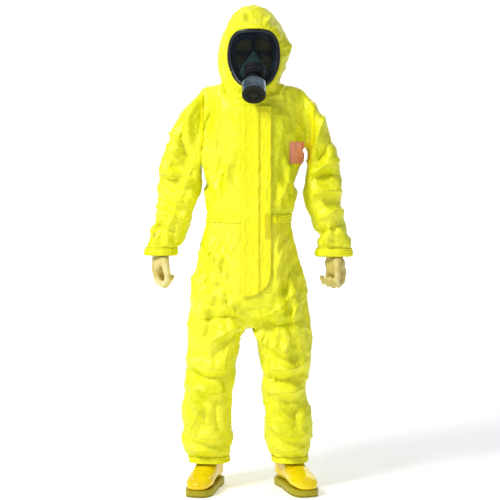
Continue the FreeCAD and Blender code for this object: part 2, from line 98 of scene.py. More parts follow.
class Sock:
    """A shader socket that takes Python arithmetic and adds the Math nodes it needs."""

    def __init__(self, tree, socket):
        self.tree, self.socket = tree, socket

    def node(self, kind, settings=(), **values):
        """Adds a node: settings are its properties, values its inputs by name or by place (i0, i1...)."""
        made = self.tree.nodes.new(kind)
        for key, value in dict(settings).items():
            if key == "stops":
                ramp = made.color_ramp
                while len(ramp.elements) < len(value):
                    ramp.elements.new(0.5)
                for element, (place, colour) in zip(ramp.elements, value):
                    element.position = place
                    element.color = colour if len(colour) == 4 else (*colour, 1)
            else:
                setattr(made, key, value)
        for key, value in values.items():
            named = int(key[1:]) if key[0] == "i" and key[1:].isdigit() else key.replace("_", " ")
            if isinstance(named, str):
                named = next(k for k in made.inputs.keys() if k.lower() == named.lower())
            if isinstance(value, Sock):
                self.tree.links.new(value.socket, made.inputs[named])
            else:
                made.inputs[named].default_value = value
        return made

    def out(self, kind, settings=(), output=0, **values):
        return Sock(self.tree, self.node(kind, settings, **values).outputs[output])

    def math(self, operation, *values):
        return self.out("ShaderNodeMath", {"operation": operation},
                        **{"i%d" % place: value for place, value in enumerate(values)})

    def __add__(self, other):
        return self.math("ADD", self, other)

    def __sub__(self, other):
        return self.math("SUBTRACT", self, other)

    def __mul__(self, other):
        return self.math("MULTIPLY", self, other)

    def __truediv__(self, other):
        return self.math("DIVIDE", self, other)

    def __rsub__(self, other):
        return self.math("SUBTRACT", other, self)

    __radd__ = __add__
    __rmul__ = __mul__

    def step(self, low, high):
        """0 below low, 1 above high, smooth between."""
        return self.out("ShaderNodeMapRange", {"interpolation_type": "SMOOTHSTEP"},
                        i0=self, i1=low, i2=high, i3=0.0, i4=1.0)

    def shifted(self, amount):
        """This colour as a vector about zero, amount long."""
        centred = self.out("ShaderNodeVectorMath", {"operation": "SUBTRACT"}, i0=self, i1=(0.5, 0.5, 0.5))
        return self.out("ShaderNodeVectorMath", {"operation": "MULTIPLY"}, i0=centred, i1=(amount,) * 3)

    def mix(self, low, high):
        """A colour from low to high as this value goes from 0 to 1."""
        return self.out("ShaderNodeMix", {"data_type": "RGBA"}, output=2, i0=self, i6=low, i7=high)


def material(name, colour, rough, **fixed):
    """A new Principled material, its shader node, and a Sock to start expressions from."""
    made = bpy.data.materials.new(name)
    made.use_nodes = True
    tree = made.node_tree
    shader = tree.nodes["Principled BSDF"]
    shader.inputs["Base Color"].default_value = (*colour, 1)
    shader.inputs["Roughness"].default_value = rough
    for key, value in fixed.items():
        shader.inputs[key.replace("_", " ").title().replace("Ior", "IOR")].default_value = value
    place = tree.nodes.new("ShaderNodeTexCoord")
    return made, shader, Sock(tree, place.outputs["Object"])


def feed(shader, **links):
    for key, sock in links.items():
        sock.tree.links.new(sock.socket, shader.inputs[key.replace("_", " ").title()])


def bump(height, distance, strength=1.0, normal=None):
    settings = {"Height": height, "Distance": distance, "Strength": strength}
    if normal:
        settings["Normal"] = normal
    return height.out("ShaderNodeBump", **settings)


def noise_of(place, scale, detail=2.0, rough=0.5, squeeze=(1, 1, 1)):
    where = place if squeeze == (1, 1, 1) else place.out("ShaderNodeMapping", i0=place, Scale=squeeze)
    return where.out("ShaderNodeTexNoise", Vector=where, Scale=scale, Detail=detail, Roughness=rough)


def select_only(obj):
    bpy.ops.object.select_all(action="DESELECT")
    obj.select_set(True)
    bpy.context.view_layer.objects.active = obj


def finish_piece(obj, name, made, body=None, smooth=True):
    """Names a piece, gives it its material and rides it on its body, with its place in its mesh."""
    select_only(obj)
    bpy.ops.object.transform_apply(location=True, rotation=True, scale=True)
    obj.name = obj.data.name = name
    obj.data.materials.clear()
    obj.data.materials.append(made)
    if smooth:
        bpy.ops.object.shade_smooth()
    if body:
        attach(obj, body)
    return obj


floor_material, floor_shader, at = material("floor", (0.95, 0.95, 0.95), 0.9)
floor_shader.inputs["Emission Color"].default_value = (1, 1, 1, 1)
floor_shader.inputs["Emission Strength"].default_value = 0.30
feed(floor_shader, roughness=noise_of(at, 3.0) * 0.1 + 0.85)
bpy.ops.object.select_all(action="DESELECT")
bpy.ops.mesh.primitive_plane_add(size=14, location=(0, 0, 0))
floor = bpy.context.object
finish_piece(floor, "floor", floor_material)
backdrop_material, backdrop_shader, at = material("backdrop", (0.95, 0.95, 0.95), 0.9)
backdrop_shader.inputs["Emission Color"].default_value = (1, 1, 1, 1)
backdrop_shader.inputs["Emission Strength"].default_value = 0.35
feed(backdrop_shader, roughness=noise_of(at, 2.0) * 0.1 + 0.85)
bpy.ops.object.select_all(action="DESELECT")
bpy.ops.mesh.primitive_plane_add(size=14, location=(0, 7, 7), rotation=(math.radians(90), 0, 0))
backdrop = bpy.context.object
finish_piece(backdrop, "backdrop", backdrop_material)


# Coverall fabric.
# A papery spun-bonded web with a coloured plastic coat: it creases sharply, holds the creases, and
# lets a little light through.
FABRIC_YELLOW = (0.93, 0.91, 0.060)
FABRIC_SHADE = (0.78, 0.80, 0.012)
SEAM_YELLOW = (0.95, 0.88, 0.006)


def fabric_like(name, pale, deep, gloss=0.42, crumpled=1.0):
    """The coated web in another tone: broad facets, fine crinkles and fibres, all in the bump."""
    made, shader, at = material(name, pale, 0.5, specular_ior_level=0.5)
    warp = noise_of(at, 9, 2)
    moved = at.out("ShaderNodeVectorMath", {"operation": "ADD"}, i0=at, i1=warp.shifted(0.05))
    facets = moved.out("ShaderNodeTexVoronoi", {"feature": "DISTANCE_TO_EDGE"}, Vector=moved, Scale=16.0)
    small = moved.out("ShaderNodeTexVoronoi", {"feature": "DISTANCE_TO_EDGE"}, Vector=moved, Scale=47.0)
    crinkle = noise_of(at, 70, 4, 0.6)
    fibres = noise_of(at, 600, 2, 0.6)
    tone = noise_of(at, 6, 3)
    feed(shader,
         base_color=(tone * 0.65 + crinkle * 0.35).step(0.36, 0.64).mix((*deep, 1), (*pale, 1)),
         roughness=crinkle * 0.22 + (gloss - 0.08),
         normal=bump(fibres, 0.0003, 0.3,
                     bump(facets * 1.4 + small * 0.25 + crinkle * 0.06, 0.006 * crumpled, 0.6)))
    return made


fabric = fabric_like("coated_fabric", FABRIC_YELLOW, FABRIC_SHADE)
gathered = fabric_like("gathered_fabric", (0.93, 0.91, 0.030), (0.82, 0.82, 0.008), 0.45, 0.35)
seam_tape = fabric_like("seam_tape", SEAM_YELLOW, (0.92, 0.86, 0.004), 0.36, 0.3)


# Coverall shell.
# One sewn suit of the same fabric: bodice with hood, two sleeves and trousers, loose on the body and
# drawn in by elastic at the waist, cuffs and ankles. Fabric simulation gives it its fullness.
MM = 0.001
AXIS_X, AXIS_Y = 0.004, 0.053        # the body's axis in the row frame
VOXEL = 0.0085
waist_low, waist_high = (Vector(corner).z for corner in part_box("waist_elastic"))
waist_mid = (waist_low + waist_high) / 2

# Rows are height, right edge, left edge, front, back, in millimetres from the body's axis.
TRUNK = [
    (640, -20, 20, -100, 100), (690, -190, 190, -142, 138), (760, -229, 228, -148, 146),
    (835, -217, 214, -147, 150), (905, -208, 196, -143, 148), (950, -200, 183, -138, 142),
    (990, -184, 166, -128, 130), (1032, -155, 149, -114, 117), (1072, -164, 168, -126, 128),
    (1110, -168, 178, -134, 134), (1180, -169, 186, -139, 138), (1270, -176, 208, -141, 139),
    (1350, -190, 232, -138, 138), (1420, -196, 240, -128, 132), (1472, -192, 240, -116, 124),
    (1504, -186, 214, -100, 114), (1521, -160, 180, -92, 104), (1533, -98, 118, -88, 98),
    (1545, -40, 60, -50, 60),
]
HOOD = [
    (1505, -94, 106, -84, 98), (1528, -100, 112, -88, 104), (1552, -100, 116, -96, 118),
    (1580, -112, 126, -108, 134), (1610, -118, 134, -116, 146), (1645, -119, 148, -122, 153),
    (1680, -112, 152, -124, 154), (1710, -104, 142, -121, 150), (1740, -91, 124, -113, 142),
    (1770, -77, 104, -98, 126), (1795, -60, 84, -74, 104), (1813, -38, 64, -48, 80),
    (1824, -12, 40, -20, 50), (1829, 10, 20, 10, 20),
]
SLEEVES = {
    "right": [
        (1498, -196, -178, -40, 52), (1488, -228, -178, -66, 76), (1455, -262, -178, -78, 86),
        (1410, -292, -178, -82, 88), (1360, -308, -178, -82, 88), (1300, -340, -180, -80, 86),
        (1265, -354, -194, -78, 84), (1210, -355, -200, -74, 80), (1150, -353, -198, -70, 74),
        (1100, -361, -212, -68, 70), (1050, -369, -228, -65, 66), (990, -379, -240, -60, 62),
        (935, -388, -262, -54, 58), (912, -390, -276, -50, 54), (893, -397, -272, -54, 58),
        (884, -380, -290, -40, 40),
    ],
    "left": [
        (1500, 200, 226, -40, 52), (1490, 214, 250, -62, 74), (1455, 216, 272, -76, 84),
        (1410, 216, 307, -82, 88), (1350, 222, 326, -82, 88), (1290, 240, 346, -80, 86),
        (1224, 234, 361, -76, 82), (1150, 220, 365, -72, 76), (1100, 222, 367, -68, 72),
        (1062, 236, 374, -66, 66), (1020, 246, 379, -64, 62), (990, 254, 383, -61, 60),
        (935, 252, 390, -55, 58), (908, 256, 386, -50, 54), (889, 248, 394, -56, 60),
        (878, 280, 370, -40, 40),
    ],
}
LEGS = {
    "right": [
        (740, -222, -16, -136, 132), (690, -234, -6, -130, 126), (640, -244, -18, -122, 118),
        (600, -245, -30, -112, 110), (540, -246, -36, -102, 102), (480, -252, -46, -98, 96),
        (430, -256, -50, -98, 92), (385, -258, -66, -94, 92), (320, -265, -68, -96, 92),
        (240, -264, -68, -94, 92), (175, -261, -70, -90, 92), (140, -246, -74, -86, 88),
        (116, -227, -80, -78, 82), (100, -224, -78, -82, 84), (90, -200, -100, -50, 50),
    ],
    "left": [
        (740, 16, 222, -136, 132), (690, 4, 238, -130, 126), (640, 20, 245, -122, 118),
        (600, 22, 244, -114, 110), (540, 28, 243, -106, 102), (480, 34, 243, -102, 98),
        (430, 36, 232, -98, 94), (394, 36, 223, -92, 92), (350, 42, 232, -96, 94),
        (283, 48, 243, -98, 94), (191, 58, 238, -92, 92), (140, 74, 230, -84, 88),
        (113, 92, 220, -76, 82), (98, 88, 218, -80, 84), (88, 110, 200, -50, 50),
    ],
}


def tube_skin(rows, around=48, step=0.012, power=2.4, turned=None):
    """A closed skin through rows, made from a flat grid wrapped round; turned moves each point."""
    table = np.array(sorted(rows), float) * MM
    heights = table[:, 0]
    count = max(8, int((heights[-1] - heights[0]) / step))
    bpy.ops.object.select_all(action="DESELECT")
    bpy.ops.mesh.primitive_grid_add(x_subdivisions=around, y_subdivisions=count, size=2)
    skin = bpy.context.object
    slopes = np.gradient(table, heights, axis=0)
    for vertex in skin.data.vertices:
        turn = (vertex.co.x + 1) * math.pi
        z = heights[0] + (vertex.co.y + 1) / 2 * (heights[-1] - heights[0])
        i = min(max(int(np.searchsorted(heights, z)) - 1, 0), len(heights) - 2)
        span = heights[i + 1] - heights[i]
        t = (z - heights[i]) / span
        row = ((2 * t ** 3 - 3 * t ** 2 + 1) * table[i] + (t ** 3 - 2 * t ** 2 + t) * span * slopes[i]
               + (3 * t ** 2 - 2 * t ** 3) * table[i + 1] + (t ** 3 - t ** 2) * span * slopes[i + 1])
        c, s = math.cos(turn), math.sin(turn)
        across = math.copysign(abs(c) ** (2 / power), c)
        deep = math.copysign(abs(s) ** (2 / power), s)
        place = Vector(((row[1] + row[2]) / 2 + across * (row[2] - row[1]) / 2,
                        (row[3] + row[4]) / 2 + deep * (row[4] - row[3]) / 2, z))
        vertex.co = turned(place) if turned else place + Vector((AXIS_X, AXIS_Y, 0))
    bpy.ops.object.mode_set(mode="EDIT")
    bpy.ops.mesh.select_all(action="SELECT")
    bpy.ops.mesh.remove_doubles(threshold=0.0005)
    bpy.ops.mesh.fill_holes(sides=0)
    bpy.ops.mesh.normals_make_consistent(inside=False)
    bpy.ops.object.mode_set(mode="OBJECT")
    return skin


def fuse(pieces, voxel, smoothing):
    """Joins closed skins into one, remeshes it evenly and smooths it."""
    select_only(pieces[0])
    for piece in pieces[1:]:
        piece.select_set(True)
    bpy.ops.object.join()
    whole = bpy.context.object
    remesh = whole.modifiers.new("fuse", "REMESH")
    remesh.mode = "VOXEL"
    remesh.voxel_size = voxel
    bpy.ops.object.modifier_apply(modifier="fuse")
    soften = whole.modifiers.new("soften", "SMOOTH")
    soften.iterations = smoothing
    soften.factor = 0.5
    bpy.ops.object.modifier_apply(modifier="soften")
    return whole


def subdivide(obj, levels=1):
    select_only(obj)
    finer = obj.modifiers.new("finer", "SUBSURF")
    finer.levels = finer.render_levels = levels
    bpy.ops.object.modifier_apply(modifier="finer")


def smoothstep(value, low, high):
    t = np.clip((value - low) / (high - low), 0, 1)
    return t * t * (3 - 2 * t)


def near(value, centre, width):
    return np.exp(-((value - centre) / width) ** 2)


def read(obj, field="co"):
    values = np.empty(len(obj.data.vertices) * 3)
    obj.data.vertices.foreach_get(field, values)
    return values.reshape(-1, 3)


def write(obj, points):
    obj.data.vertices.foreach_set("co", points.ravel())
    obj.data.update()


# Half of the face piece's outline, across and up from its middle, in millimetres.
MASK_HALF = [(0, 107), (36, 106), (62, 101), (80, 85), (90, 65), (96, 33), (97, 1), (91, -31), (80, -59),
             (65, -83), (46, -99), (22, -108), (0, -110)]
(frame_x0, frame_y0, _), (frame_x1, _, frame_z1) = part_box("visor_frame")
MASK_X = (frame_x0 + frame_x1) / 2
MASK_Z = frame_z1 - 0.107
MASK_TURN_Y, MASK_R = frame_y0 + 0.124, 0.124        # the frame is bent round an upright axis
outline = np.array(MASK_HALF + [(-x, z) for x, z in reversed(MASK_HALF[1:-1])]) * MM
outline_turn = np.unwrap(np.arctan2(outline[:, 0], outline[:, 1]))
outline_reach = np.hypot(outline[:, 0], outline[:, 1])


def mask_reach(turn):
    """How far the outline lies from the mask's middle in a direction, 0 being up."""
    spread = [np.interp(turn + off, outline_turn, outline_reach, period=2 * math.pi)
              for off in (-0.09, -0.045, 0, 0.045, 0.09)]
    return sum(spread) / len(spread)


def outside_mask(x, z):
    dx, dz = x - MASK_X, z - MASK_Z
    return np.hypot(dx, dz) - mask_reach(np.arctan2(dx, dz))


def mask_front(x, back=0.0):
    return MASK_TURN_Y - np.sqrt(np.maximum((MASK_R - back) ** 2 - (x - MASK_X) ** 2, 0))


skins = [tube_skin(TRUNK), tube_skin(HOOD)]
for side in ("right", "left"):
    skins += [tube_skin(SLEEVES[side]), tube_skin(LEGS[side])]
shell = fuse(skins, VOXEL, 6)
shell.name = "coverall_shell"

# The stiff closure bridges the hollow of the waist, and the hood reaches forward to the face piece.
(flap_x0, flap_y0, flap_z0), (flap_x1, _, flap_z1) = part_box("storm_flap")
(placket_x0, placket_y0, placket_z0), (placket_x1, _, placket_z1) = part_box("placket")
closure_x = (flap_x0 + flap_x1) / 2
still = read(shell)
x, y, z = still.T
front = smoothstep(-y, -0.03, 0.02)
bridge = (1 - smoothstep(np.abs(x - closure_x), 0.050, 0.125)) * front
bridge *= smoothstep(z, 0.66, 0.76) * (1 - smoothstep(z, 1.43, 1.49))
y = np.minimum(y, y + (placket_y0 + 0.0022 - y) * bridge)
beyond = outside_mask(x, z)
reach = (1 - smoothstep(beyond, 0.004, 0.048)) * smoothstep(-y, -0.02, 0.02) * smoothstep(z, 1.478, 1.52)
y = y + np.minimum(mask_front(x, 0.006) - y, 0) * reach
still = np.stack([x, y, z], axis=1)
write(shell, still)

CAP = 0.024                 # the furthest a point may move in the simulation
FRAMES = 22
hold = 0.08 + 0.0 * z
for grip in (near(z, waist_mid, 0.012) * (np.abs(x - AXIS_X) < 0.2),
             near(z, 0.905, 0.010) * (np.abs(x - AXIS_X) > 0.24),
             near(z, 0.110, 0.012), bridge, reach, near(z, 1.52, 0.012) * 0.9,
             smoothstep(z, 1.48, 1.56) * 0.35, smoothstep(z, 1.74, 1.81) * 0.95):
    hold = np.maximum(hold, grip)

group = shell.vertex_groups.new(name="hold")
for index, weight in enumerate(np.clip(hold, 0, 1)):
    group.add([index], float(weight), "REPLACE")
shell.shape_key_add(name="Basis")
slack = shell.shape_key_add(name="slack")
stretched = still.copy()
middle = np.array([AXIS_X, AXIS_Y, 0])
stretched[:, :2] = middle[:2] + (still[:, :2] - middle[:2]) * 1.045
stretched[:, 2] = still[:, 2] * 1.06
slack.data.foreach_set("co", stretched.ravel())
cloth = shell.modifiers.new("cloth", "CLOTH")
settings = cloth.settings
settings.quality = 5
settings.mass = 0.12
settings.tension_stiffness = settings.compression_stiffness = 30
settings.shear_stiffness = 14
settings.bending_stiffness = 0.15
settings.tension_damping = settings.compression_damping = 4
settings.air_damping = 2
settings.vertex_group_mass = "hold"
settings.pin_stiffness = 0.8
settings.rest_shape_key = slack
settings.use_pressure = True
settings.uniform_pressure_force = 1.6
settings.effector_weights.gravity = 0.5
cloth.collision_settings.use_collision = False
cloth.point_cache.frame_end = FRAMES
for step in range(1, FRAMES + 1):
    bpy.context.scene.frame_set(step)
depsgraph = bpy.context.evaluated_depsgraph_get()
moved = np.empty(len(still) * 3)
shell.evaluated_get(depsgraph).data.vertices.foreach_get("co", moved)
moved = moved.reshape(-1, 3)
shell.modifiers.remove(cloth)
shell.shape_key_clear()
bpy.context.scene.frame_set(1)
offset = moved - still
length = np.linalg.norm(offset, axis=1, keepdims=True)
offset *= np.minimum(1, CAP / np.maximum(length, 1e-9)) * (1 - 0.9 * np.maximum(bridge, reach))[:, None]
write(shell, still + offset)

subdivide(shell)


# Folds.
# Where the body bends and the elastics pull, the stiff web breaks into sharp-crested folds: drapes
# down the bodice, rings at the elbows and knees, and fans from the crotch and the waist.
# Each fold runs from x, z to x, z in metres, and has a half width and a height; minus is a valley.
FOLDS = [
    (-0.150, 1.37, -0.095, 1.10, 0.016, 0.011), (-0.105, 1.33, -0.062, 1.09, 0.013, -0.009),
    (-0.078, 1.45, -0.110, 1.20, 0.014, 0.008), (-0.165, 1.29, -0.135, 1.08, 0.015, 0.009),
    (-0.045, 1.30, -0.055, 1.07, 0.010, 0.007), (-0.130, 1.44, -0.165, 1.34, 0.014, -0.008),
    (0.195, 1.33, 0.140, 1.08, 0.016, 0.011), (0.160, 1.20, 0.110, 1.06, 0.013, 0.010),
    (0.215, 1.38, 0.178, 1.21, 0.015, -0.008), (0.120, 1.44, 0.145, 1.33, 0.013, 0.007),
    (0.105, 1.31, 0.108, 1.09, 0.010, -0.007), (0.125, 1.23, 0.170, 1.11, 0.012, -0.008),
    (-0.335, 1.23, -0.205, 1.17, 0.016, 0.012), (-0.345, 1.18, -0.205, 1.20, 0.012, -0.009),
    (-0.350, 1.15, -0.215, 1.09, 0.015, 0.012), (-0.290, 1.43, -0.245, 1.28, 0.015, 0.010),
    (-0.245, 1.42, -0.225, 1.26, 0.012, -0.009), (-0.320, 1.36, -0.225, 1.22, 0.014, 0.009),
    (-0.355, 1.09, -0.255, 1.03, 0.013, 0.010), (-0.375, 1.03, -0.270, 0.98, 0.012, -0.008),
    (-0.330, 1.05, -0.350, 0.93, 0.012, 0.008), (-0.290, 1.03, -0.300, 0.93, 0.011, 0.007),
    (0.345, 1.25, 0.240, 1.19, 0.016, 0.012), (0.355, 1.19, 0.225, 1.17, 0.012, -0.010),
    (0.360, 1.13, 0.225, 1.11, 0.015, 0.012), (0.290, 1.43, 0.270, 1.28, 0.014, 0.010),
    (0.325, 1.33, 0.255, 1.22, 0.013, -0.008), (0.370, 1.06, 0.255, 1.02, 0.014, 0.011),
    (0.370, 1.01, 0.265, 0.96, 0.011, -0.008), (0.310, 1.01, 0.300, 0.92, 0.011, 0.008),
    (0.270, 1.36, 0.262, 1.23, 0.012, 0.008),
    (-0.010, 0.665, -0.190, 0.760, 0.017, 0.012), (-0.012, 0.650, -0.205, 0.640, 0.015, -0.010),
    (-0.015, 0.640, -0.165, 0.530, 0.016, 0.012), (-0.040, 0.600, -0.100, 0.450, 0.013, 0.009),
    (-0.150, 0.960, -0.060, 0.790, 0.015, 0.010), (-0.185, 0.900, -0.110, 0.720, 0.014, -0.009),
    (-0.205, 0.820, -0.150, 0.640, 0.014, 0.009), (-0.110, 0.980, -0.045, 0.860, 0.011, -0.008),
    (0.012, 0.665, 0.180, 0.770, 0.017, 0.012), (0.014, 0.650, 0.210, 0.655, 0.015, -0.010),
    (0.016, 0.640, 0.170, 0.520, 0.016, 0.012), (0.045, 0.610, 0.110, 0.470, 0.013, 0.009),
    (0.150, 0.960, 0.100, 0.790, 0.014, 0.010), (0.190, 0.880, 0.140, 0.700, 0.014, -0.009),
    (0.200, 0.760, 0.175, 0.590, 0.013, 0.008), (0.125, 0.985, 0.105, 0.870, 0.010, 0.008),
    (-0.235, 0.520, -0.080, 0.470, 0.017, 0.012), (-0.240, 0.460, -0.090, 0.440, 0.013, -0.009),
    (-0.235, 0.420, -0.085, 0.380, 0.016, 0.012), (-0.210, 0.400, -0.150, 0.260, 0.014, 0.009),
    (-0.110, 0.370, -0.105, 0.220, 0.013, -0.008), (-0.240, 0.250, -0.100, 0.200, 0.016, 0.010),
    (-0.240, 0.180, -0.110, 0.160, 0.013, 0.009), (-0.165, 0.330, -0.215, 0.200, 0.012, 0.008),
    (0.060, 0.480, 0.225, 0.500, 0.017, 0.013), (0.055, 0.430, 0.220, 0.450, 0.014, -0.011),
    (0.060, 0.395, 0.215, 0.395, 0.016, 0.013), (0.100, 0.370, 0.180, 0.270, 0.014, 0.010),
    (0.210, 0.350, 0.170, 0.230, 0.013, -0.008), (0.070, 0.260, 0.215, 0.210, 0.016, 0.010),
    (0.085, 0.180, 0.215, 0.165, 0.013, 0.009), (0.120, 0.520, 0.150, 0.610, 0.013, 0.008),
    (0.118, 1.62, 0.155, 1.70, 0.010, 0.007), (0.120, 1.59, 0.152, 1.61, 0.009, 0.007),
    (0.115, 1.56, 0.140, 1.54, 0.010, -0.006), (-0.088, 1.70, -0.060, 1.77, 0.010, 0.006),
    (0.060, 1.745, 0.085, 1.79, 0.010, 0.006), (-0.020, 1.745, -0.028, 1.80, 0.009, 0.006),
    (-0.095, 1.535, -0.083, 1.482, 0.006, 0.007), (-0.090, 1.486, -0.020, 1.478, 0.006, 0.007),
    (0.132, 1.535, 0.122, 1.474, 0.006, 0.007), (0.128, 1.482, 0.060, 1.470, 0.006, 0.007),
]
BACK_FOLDS = [
    (-0.12, 1.40, -0.05, 1.12, 0.016, 0.010), (0.14, 1.40, 0.07, 1.12, 0.016, 0.010),
    (0.02, 1.42, 0.01, 1.15, 0.014, 0.008), (-0.15, 1.25, -0.10, 1.07, 0.014, -0.009),
    (0.17, 1.25, 0.12, 1.07, 0.014, -0.009), (-0.15, 0.97, -0.04, 0.78, 0.016, 0.011),
    (0.14, 0.97, 0.04, 0.78, 0.016, 0.011), (-0.01, 0.75, -0.18, 0.67, 0.017, 0.012),
    (0.01, 0.75, 0.18, 0.67, 0.017, 0.012), (-0.21, 0.50, -0.07, 0.45, 0.017, 0.012),
    (0.21, 0.50, 0.07, 0.45, 0.017, 0.012), (-0.22, 0.40, -0.08, 0.41, 0.015, 0.010),
    (0.20, 0.40, 0.06, 0.41, 0.015, 0.010), (-0.20, 0.22, -0.11, 0.17, 0.015, 0.010),
    (0.20, 0.22, 0.11, 0.17, 0.015, 0.010), (-0.33, 1.20, -0.22, 1.12, 0.015, 0.011),
    (0.34, 1.20, 0.23, 1.12, 0.015, 0.011), (-0.36, 1.06, -0.26, 1.00, 0.013, 0.009),
    (0.36, 1.06, 0.26, 1.00, 0.013, 0.009), (-0.06, 1.60, 0.10, 1.58, 0.013, 0.008),
]


def fold_height(x, z, folds):
    """Height of all the folds at each point: a sharp crest with hollow flanks, fading at both ends."""
    height = np.zeros_like(x)
    for x0, z0, x1, z1, half_width, top in folds:
        dx, dz = x1 - x0, z1 - z0
        length = math.hypot(dx, dz)
        along = ((x - x0) * dx + (z - z0) * dz) / length ** 2
        bow = 0.10 * length * np.sin(np.clip(along, 0, 1) * math.pi)
        away = np.abs(((x - x0) * dz - (z - z0) * dx) / length - bow) / half_width
        fade = np.clip(np.sin(np.clip(along, 0, 1) * math.pi), 0, 1) ** 0.6
        height += 1.9 * top * fade * (np.exp(-1.4 * away) - 0.35 * np.exp(-((away - 2.2) / 0.9) ** 2))
    return height


def crests(points, size, seed):
    """Sharp-crested creases about a given size apart, 0 to 1 and the same each run."""
    dice = np.random.default_rng(seed)
    turns = dice.normal(size=(6, 3))
    turns *= (dice.uniform(0.7, 1.4, 6) * 2 * math.pi / size / np.linalg.norm(turns, axis=1))[:, None]
    waves = np.sin(points @ turns.T + dice.uniform(0, 2 * math.pi, 6)).sum(axis=1) / 2.2
    return 1 - np.minimum(np.abs(waves), 1)


points = read(shell)
normals = read(shell, "normal")
x, y, z = points.T
on_front = smoothstep(-normals[:, 1], -0.15, 0.35)
on_back = smoothstep(normals[:, 1], -0.15, 0.35)
height = fold_height(x, z, FOLDS) * on_front + fold_height(x, z, BACK_FOLDS) * on_back
broad = crests(points * (1, 1, 0.6), 0.15, 4)
medium = crests(points * (1, 1, 0.8), 0.075, 9)
small = crests(points, 0.036, 17)
height += 0.0055 * (broad ** 3 - 0.2) + 0.0022 * (medium ** 3 - 0.2) + 0.0004 * (small ** 2 - 0.3)
turn = np.arctan2(y - AXIS_Y, x - AXIS_X)
pleats = np.abs(np.sin(turn * 26 + 2.2 * np.sin(turn * 5) + z * 9)) - 0.5
waist_pull = np.exp(-np.abs(z - waist_mid) / 0.030) * (np.abs(x - AXIS_X) < 0.2)
height += 0.0075 * pleats * waist_pull
mask_turn = np.arctan2(x - MASK_X, z - MASK_Z)
beyond = outside_mask(x, z)
rays = np.abs(np.sin(mask_turn * 21 + 1.5 * np.sin(mask_turn * 4))) - 0.5
height += 0.0055 * rays * np.exp(-np.maximum(beyond, 0) / 0.022) * on_front * (z > 1.49)
bridge = (1 - smoothstep(np.abs(x - closure_x), 0.052, 0.085)) * on_front * (z > 0.70) * (z < 1.47)
height *= 1 - 0.93 * bridge
calm = np.maximum(near(z, 0.905, 0.01) * (np.abs(x) > 0.23), near(z, 0.11, 0.01))
height *= 1 - 0.5 * calm
write(shell, points + normals * height[:, None])
keep_normal = shell.data.attributes.new("whole_normal", "FLOAT_VECTOR", "POINT")
keep_normal.data.foreach_set("vector", read(shell, "normal").ravel())


# Panels.
# The suit is cut at its own seams, neckline, armholes, waist, crotch, and round each elbow and knee.
# Only the bodice rides on a body, the torso.
NECK_POINT, NECK_SLOPE = Vector((0, AXIS_Y, 1.518)), 0.32
NECK_UP = Vector((0, -NECK_SLOPE, 1)).normalized()
SPLIT_ELBOW, SPLIT_KNEE = 1.195, 0.56
CUFF_END = {"right": 0.893, "left": 0.889}
HEM_END = 0.106
SLEEVE_EDGE = {
    "right": ([0.88, 0.95, 1.06, 1.15, 1.21, 1.27, 1.31], [0.250, 0.222, 0.196, 0.176, 0.179, 0.184, 0.184]),
    "left": ([0.88, 0.95, 1.06, 1.15, 1.22, 1.285, 1.31], [0.245, 0.222, 0.204, 0.202, 0.218, 0.232, 0.247]),
}
SIGN = {"right": -1, "left": 1}
face_middle = np.empty(len(shell.data.polygons) * 3)
shell.data.polygons.foreach_get("center", face_middle)
face_middle = face_middle.reshape(-1, 3)
fx, fy, fz = face_middle.T
is_sleeve = {side: (SIGN[side] * fx > np.interp(fz, *SLEEVE_EDGE[side])) & (fz > 0.87) for side in SIGN}
above_neck = (face_middle - np.array(NECK_POINT)) @ np.array(NECK_UP) > 0
in_hood = (np.abs(fx - 0.010) < 0.115) | (fz > 1.535)
is_hood = above_neck & in_hood & ~is_sleeve["right"] & ~is_sleeve["left"]
is_open = (outside_mask(fx, fz) < -0.003) & (fy < 0.03) & (fz > 1.49)
is_trunk = ~is_hood & ~is_sleeve["right"] & ~is_sleeve["left"]


def panel(name, chosen, made=fabric):
    """One panel of the shell, which keeps the whole shell's normals along its cut edges."""
    select_only(shell)
    bpy.ops.object.duplicate()
    piece = bpy.context.object
    mesh = bmesh.new()
    mesh.from_mesh(piece.data)
    mesh.faces.ensure_lookup_table()
    bmesh.ops.delete(mesh, geom=[mesh.faces[int(i)] for i in np.nonzero(~chosen)[0]], context="FACES")
    mesh.to_mesh(piece.data)
    mesh.free()
    finish_piece(piece, name, made)
    kept = np.empty(len(piece.data.vertices) * 3)
    piece.data.attributes["whole_normal"].data.foreach_get("vector", kept)
    piece.data.attributes.remove(piece.data.attributes["whole_normal"])
    piece.data.normals_split_custom_set_from_vertices([Vector(n) for n in kept.reshape(-1, 3)])
    return piece


bodice = panel("bodice", is_trunk & (fz > waist_mid))
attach(bodice, "torso")
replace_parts(bodice, "bodice_back", "bodice_front_right", "bodice_front_left")
hood = panel("hood_fabric", is_hood & ~is_open)
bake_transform(hood)
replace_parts(hood, "hood", "neck_fold")
for side, sign in SIGN.items():
    sleeve = is_sleeve[side] & (fz > CUFF_END[side])
    upper = panel(side + "_sleeve_top", sleeve & (fz > SPLIT_ELBOW))
    edge = sign * SLEEVE_EDGE[side][1][-1]
    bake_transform(upper)
    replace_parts(upper, side + "_upper_sleeve", side + "_shoulder_fold")
    lower = panel(side + "_sleeve_bottom", sleeve & (fz <= SPLIT_ELBOW))
    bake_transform(lower)
    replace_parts(lower, side + "_lower_sleeve", side + "_elbow_fold")
    trousers = is_trunk & (fz <= waist_mid) & (sign * fx >= 0) & (fz > HEM_END)
    hip = panel(side + "_trouser_top", trousers & (fz > SPLIT_KNEE))
    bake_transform(hip)
    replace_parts(hip, side + "_thigh", side + "_hip_fold", *(["trouser_seat"] if side == "right" else []))
    shin = panel(side + "_trouser_bottom", trousers & (fz <= SPLIT_KNEE))
    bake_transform(shin)
    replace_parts(shin, side + "_shin", side + "_knee_fold")


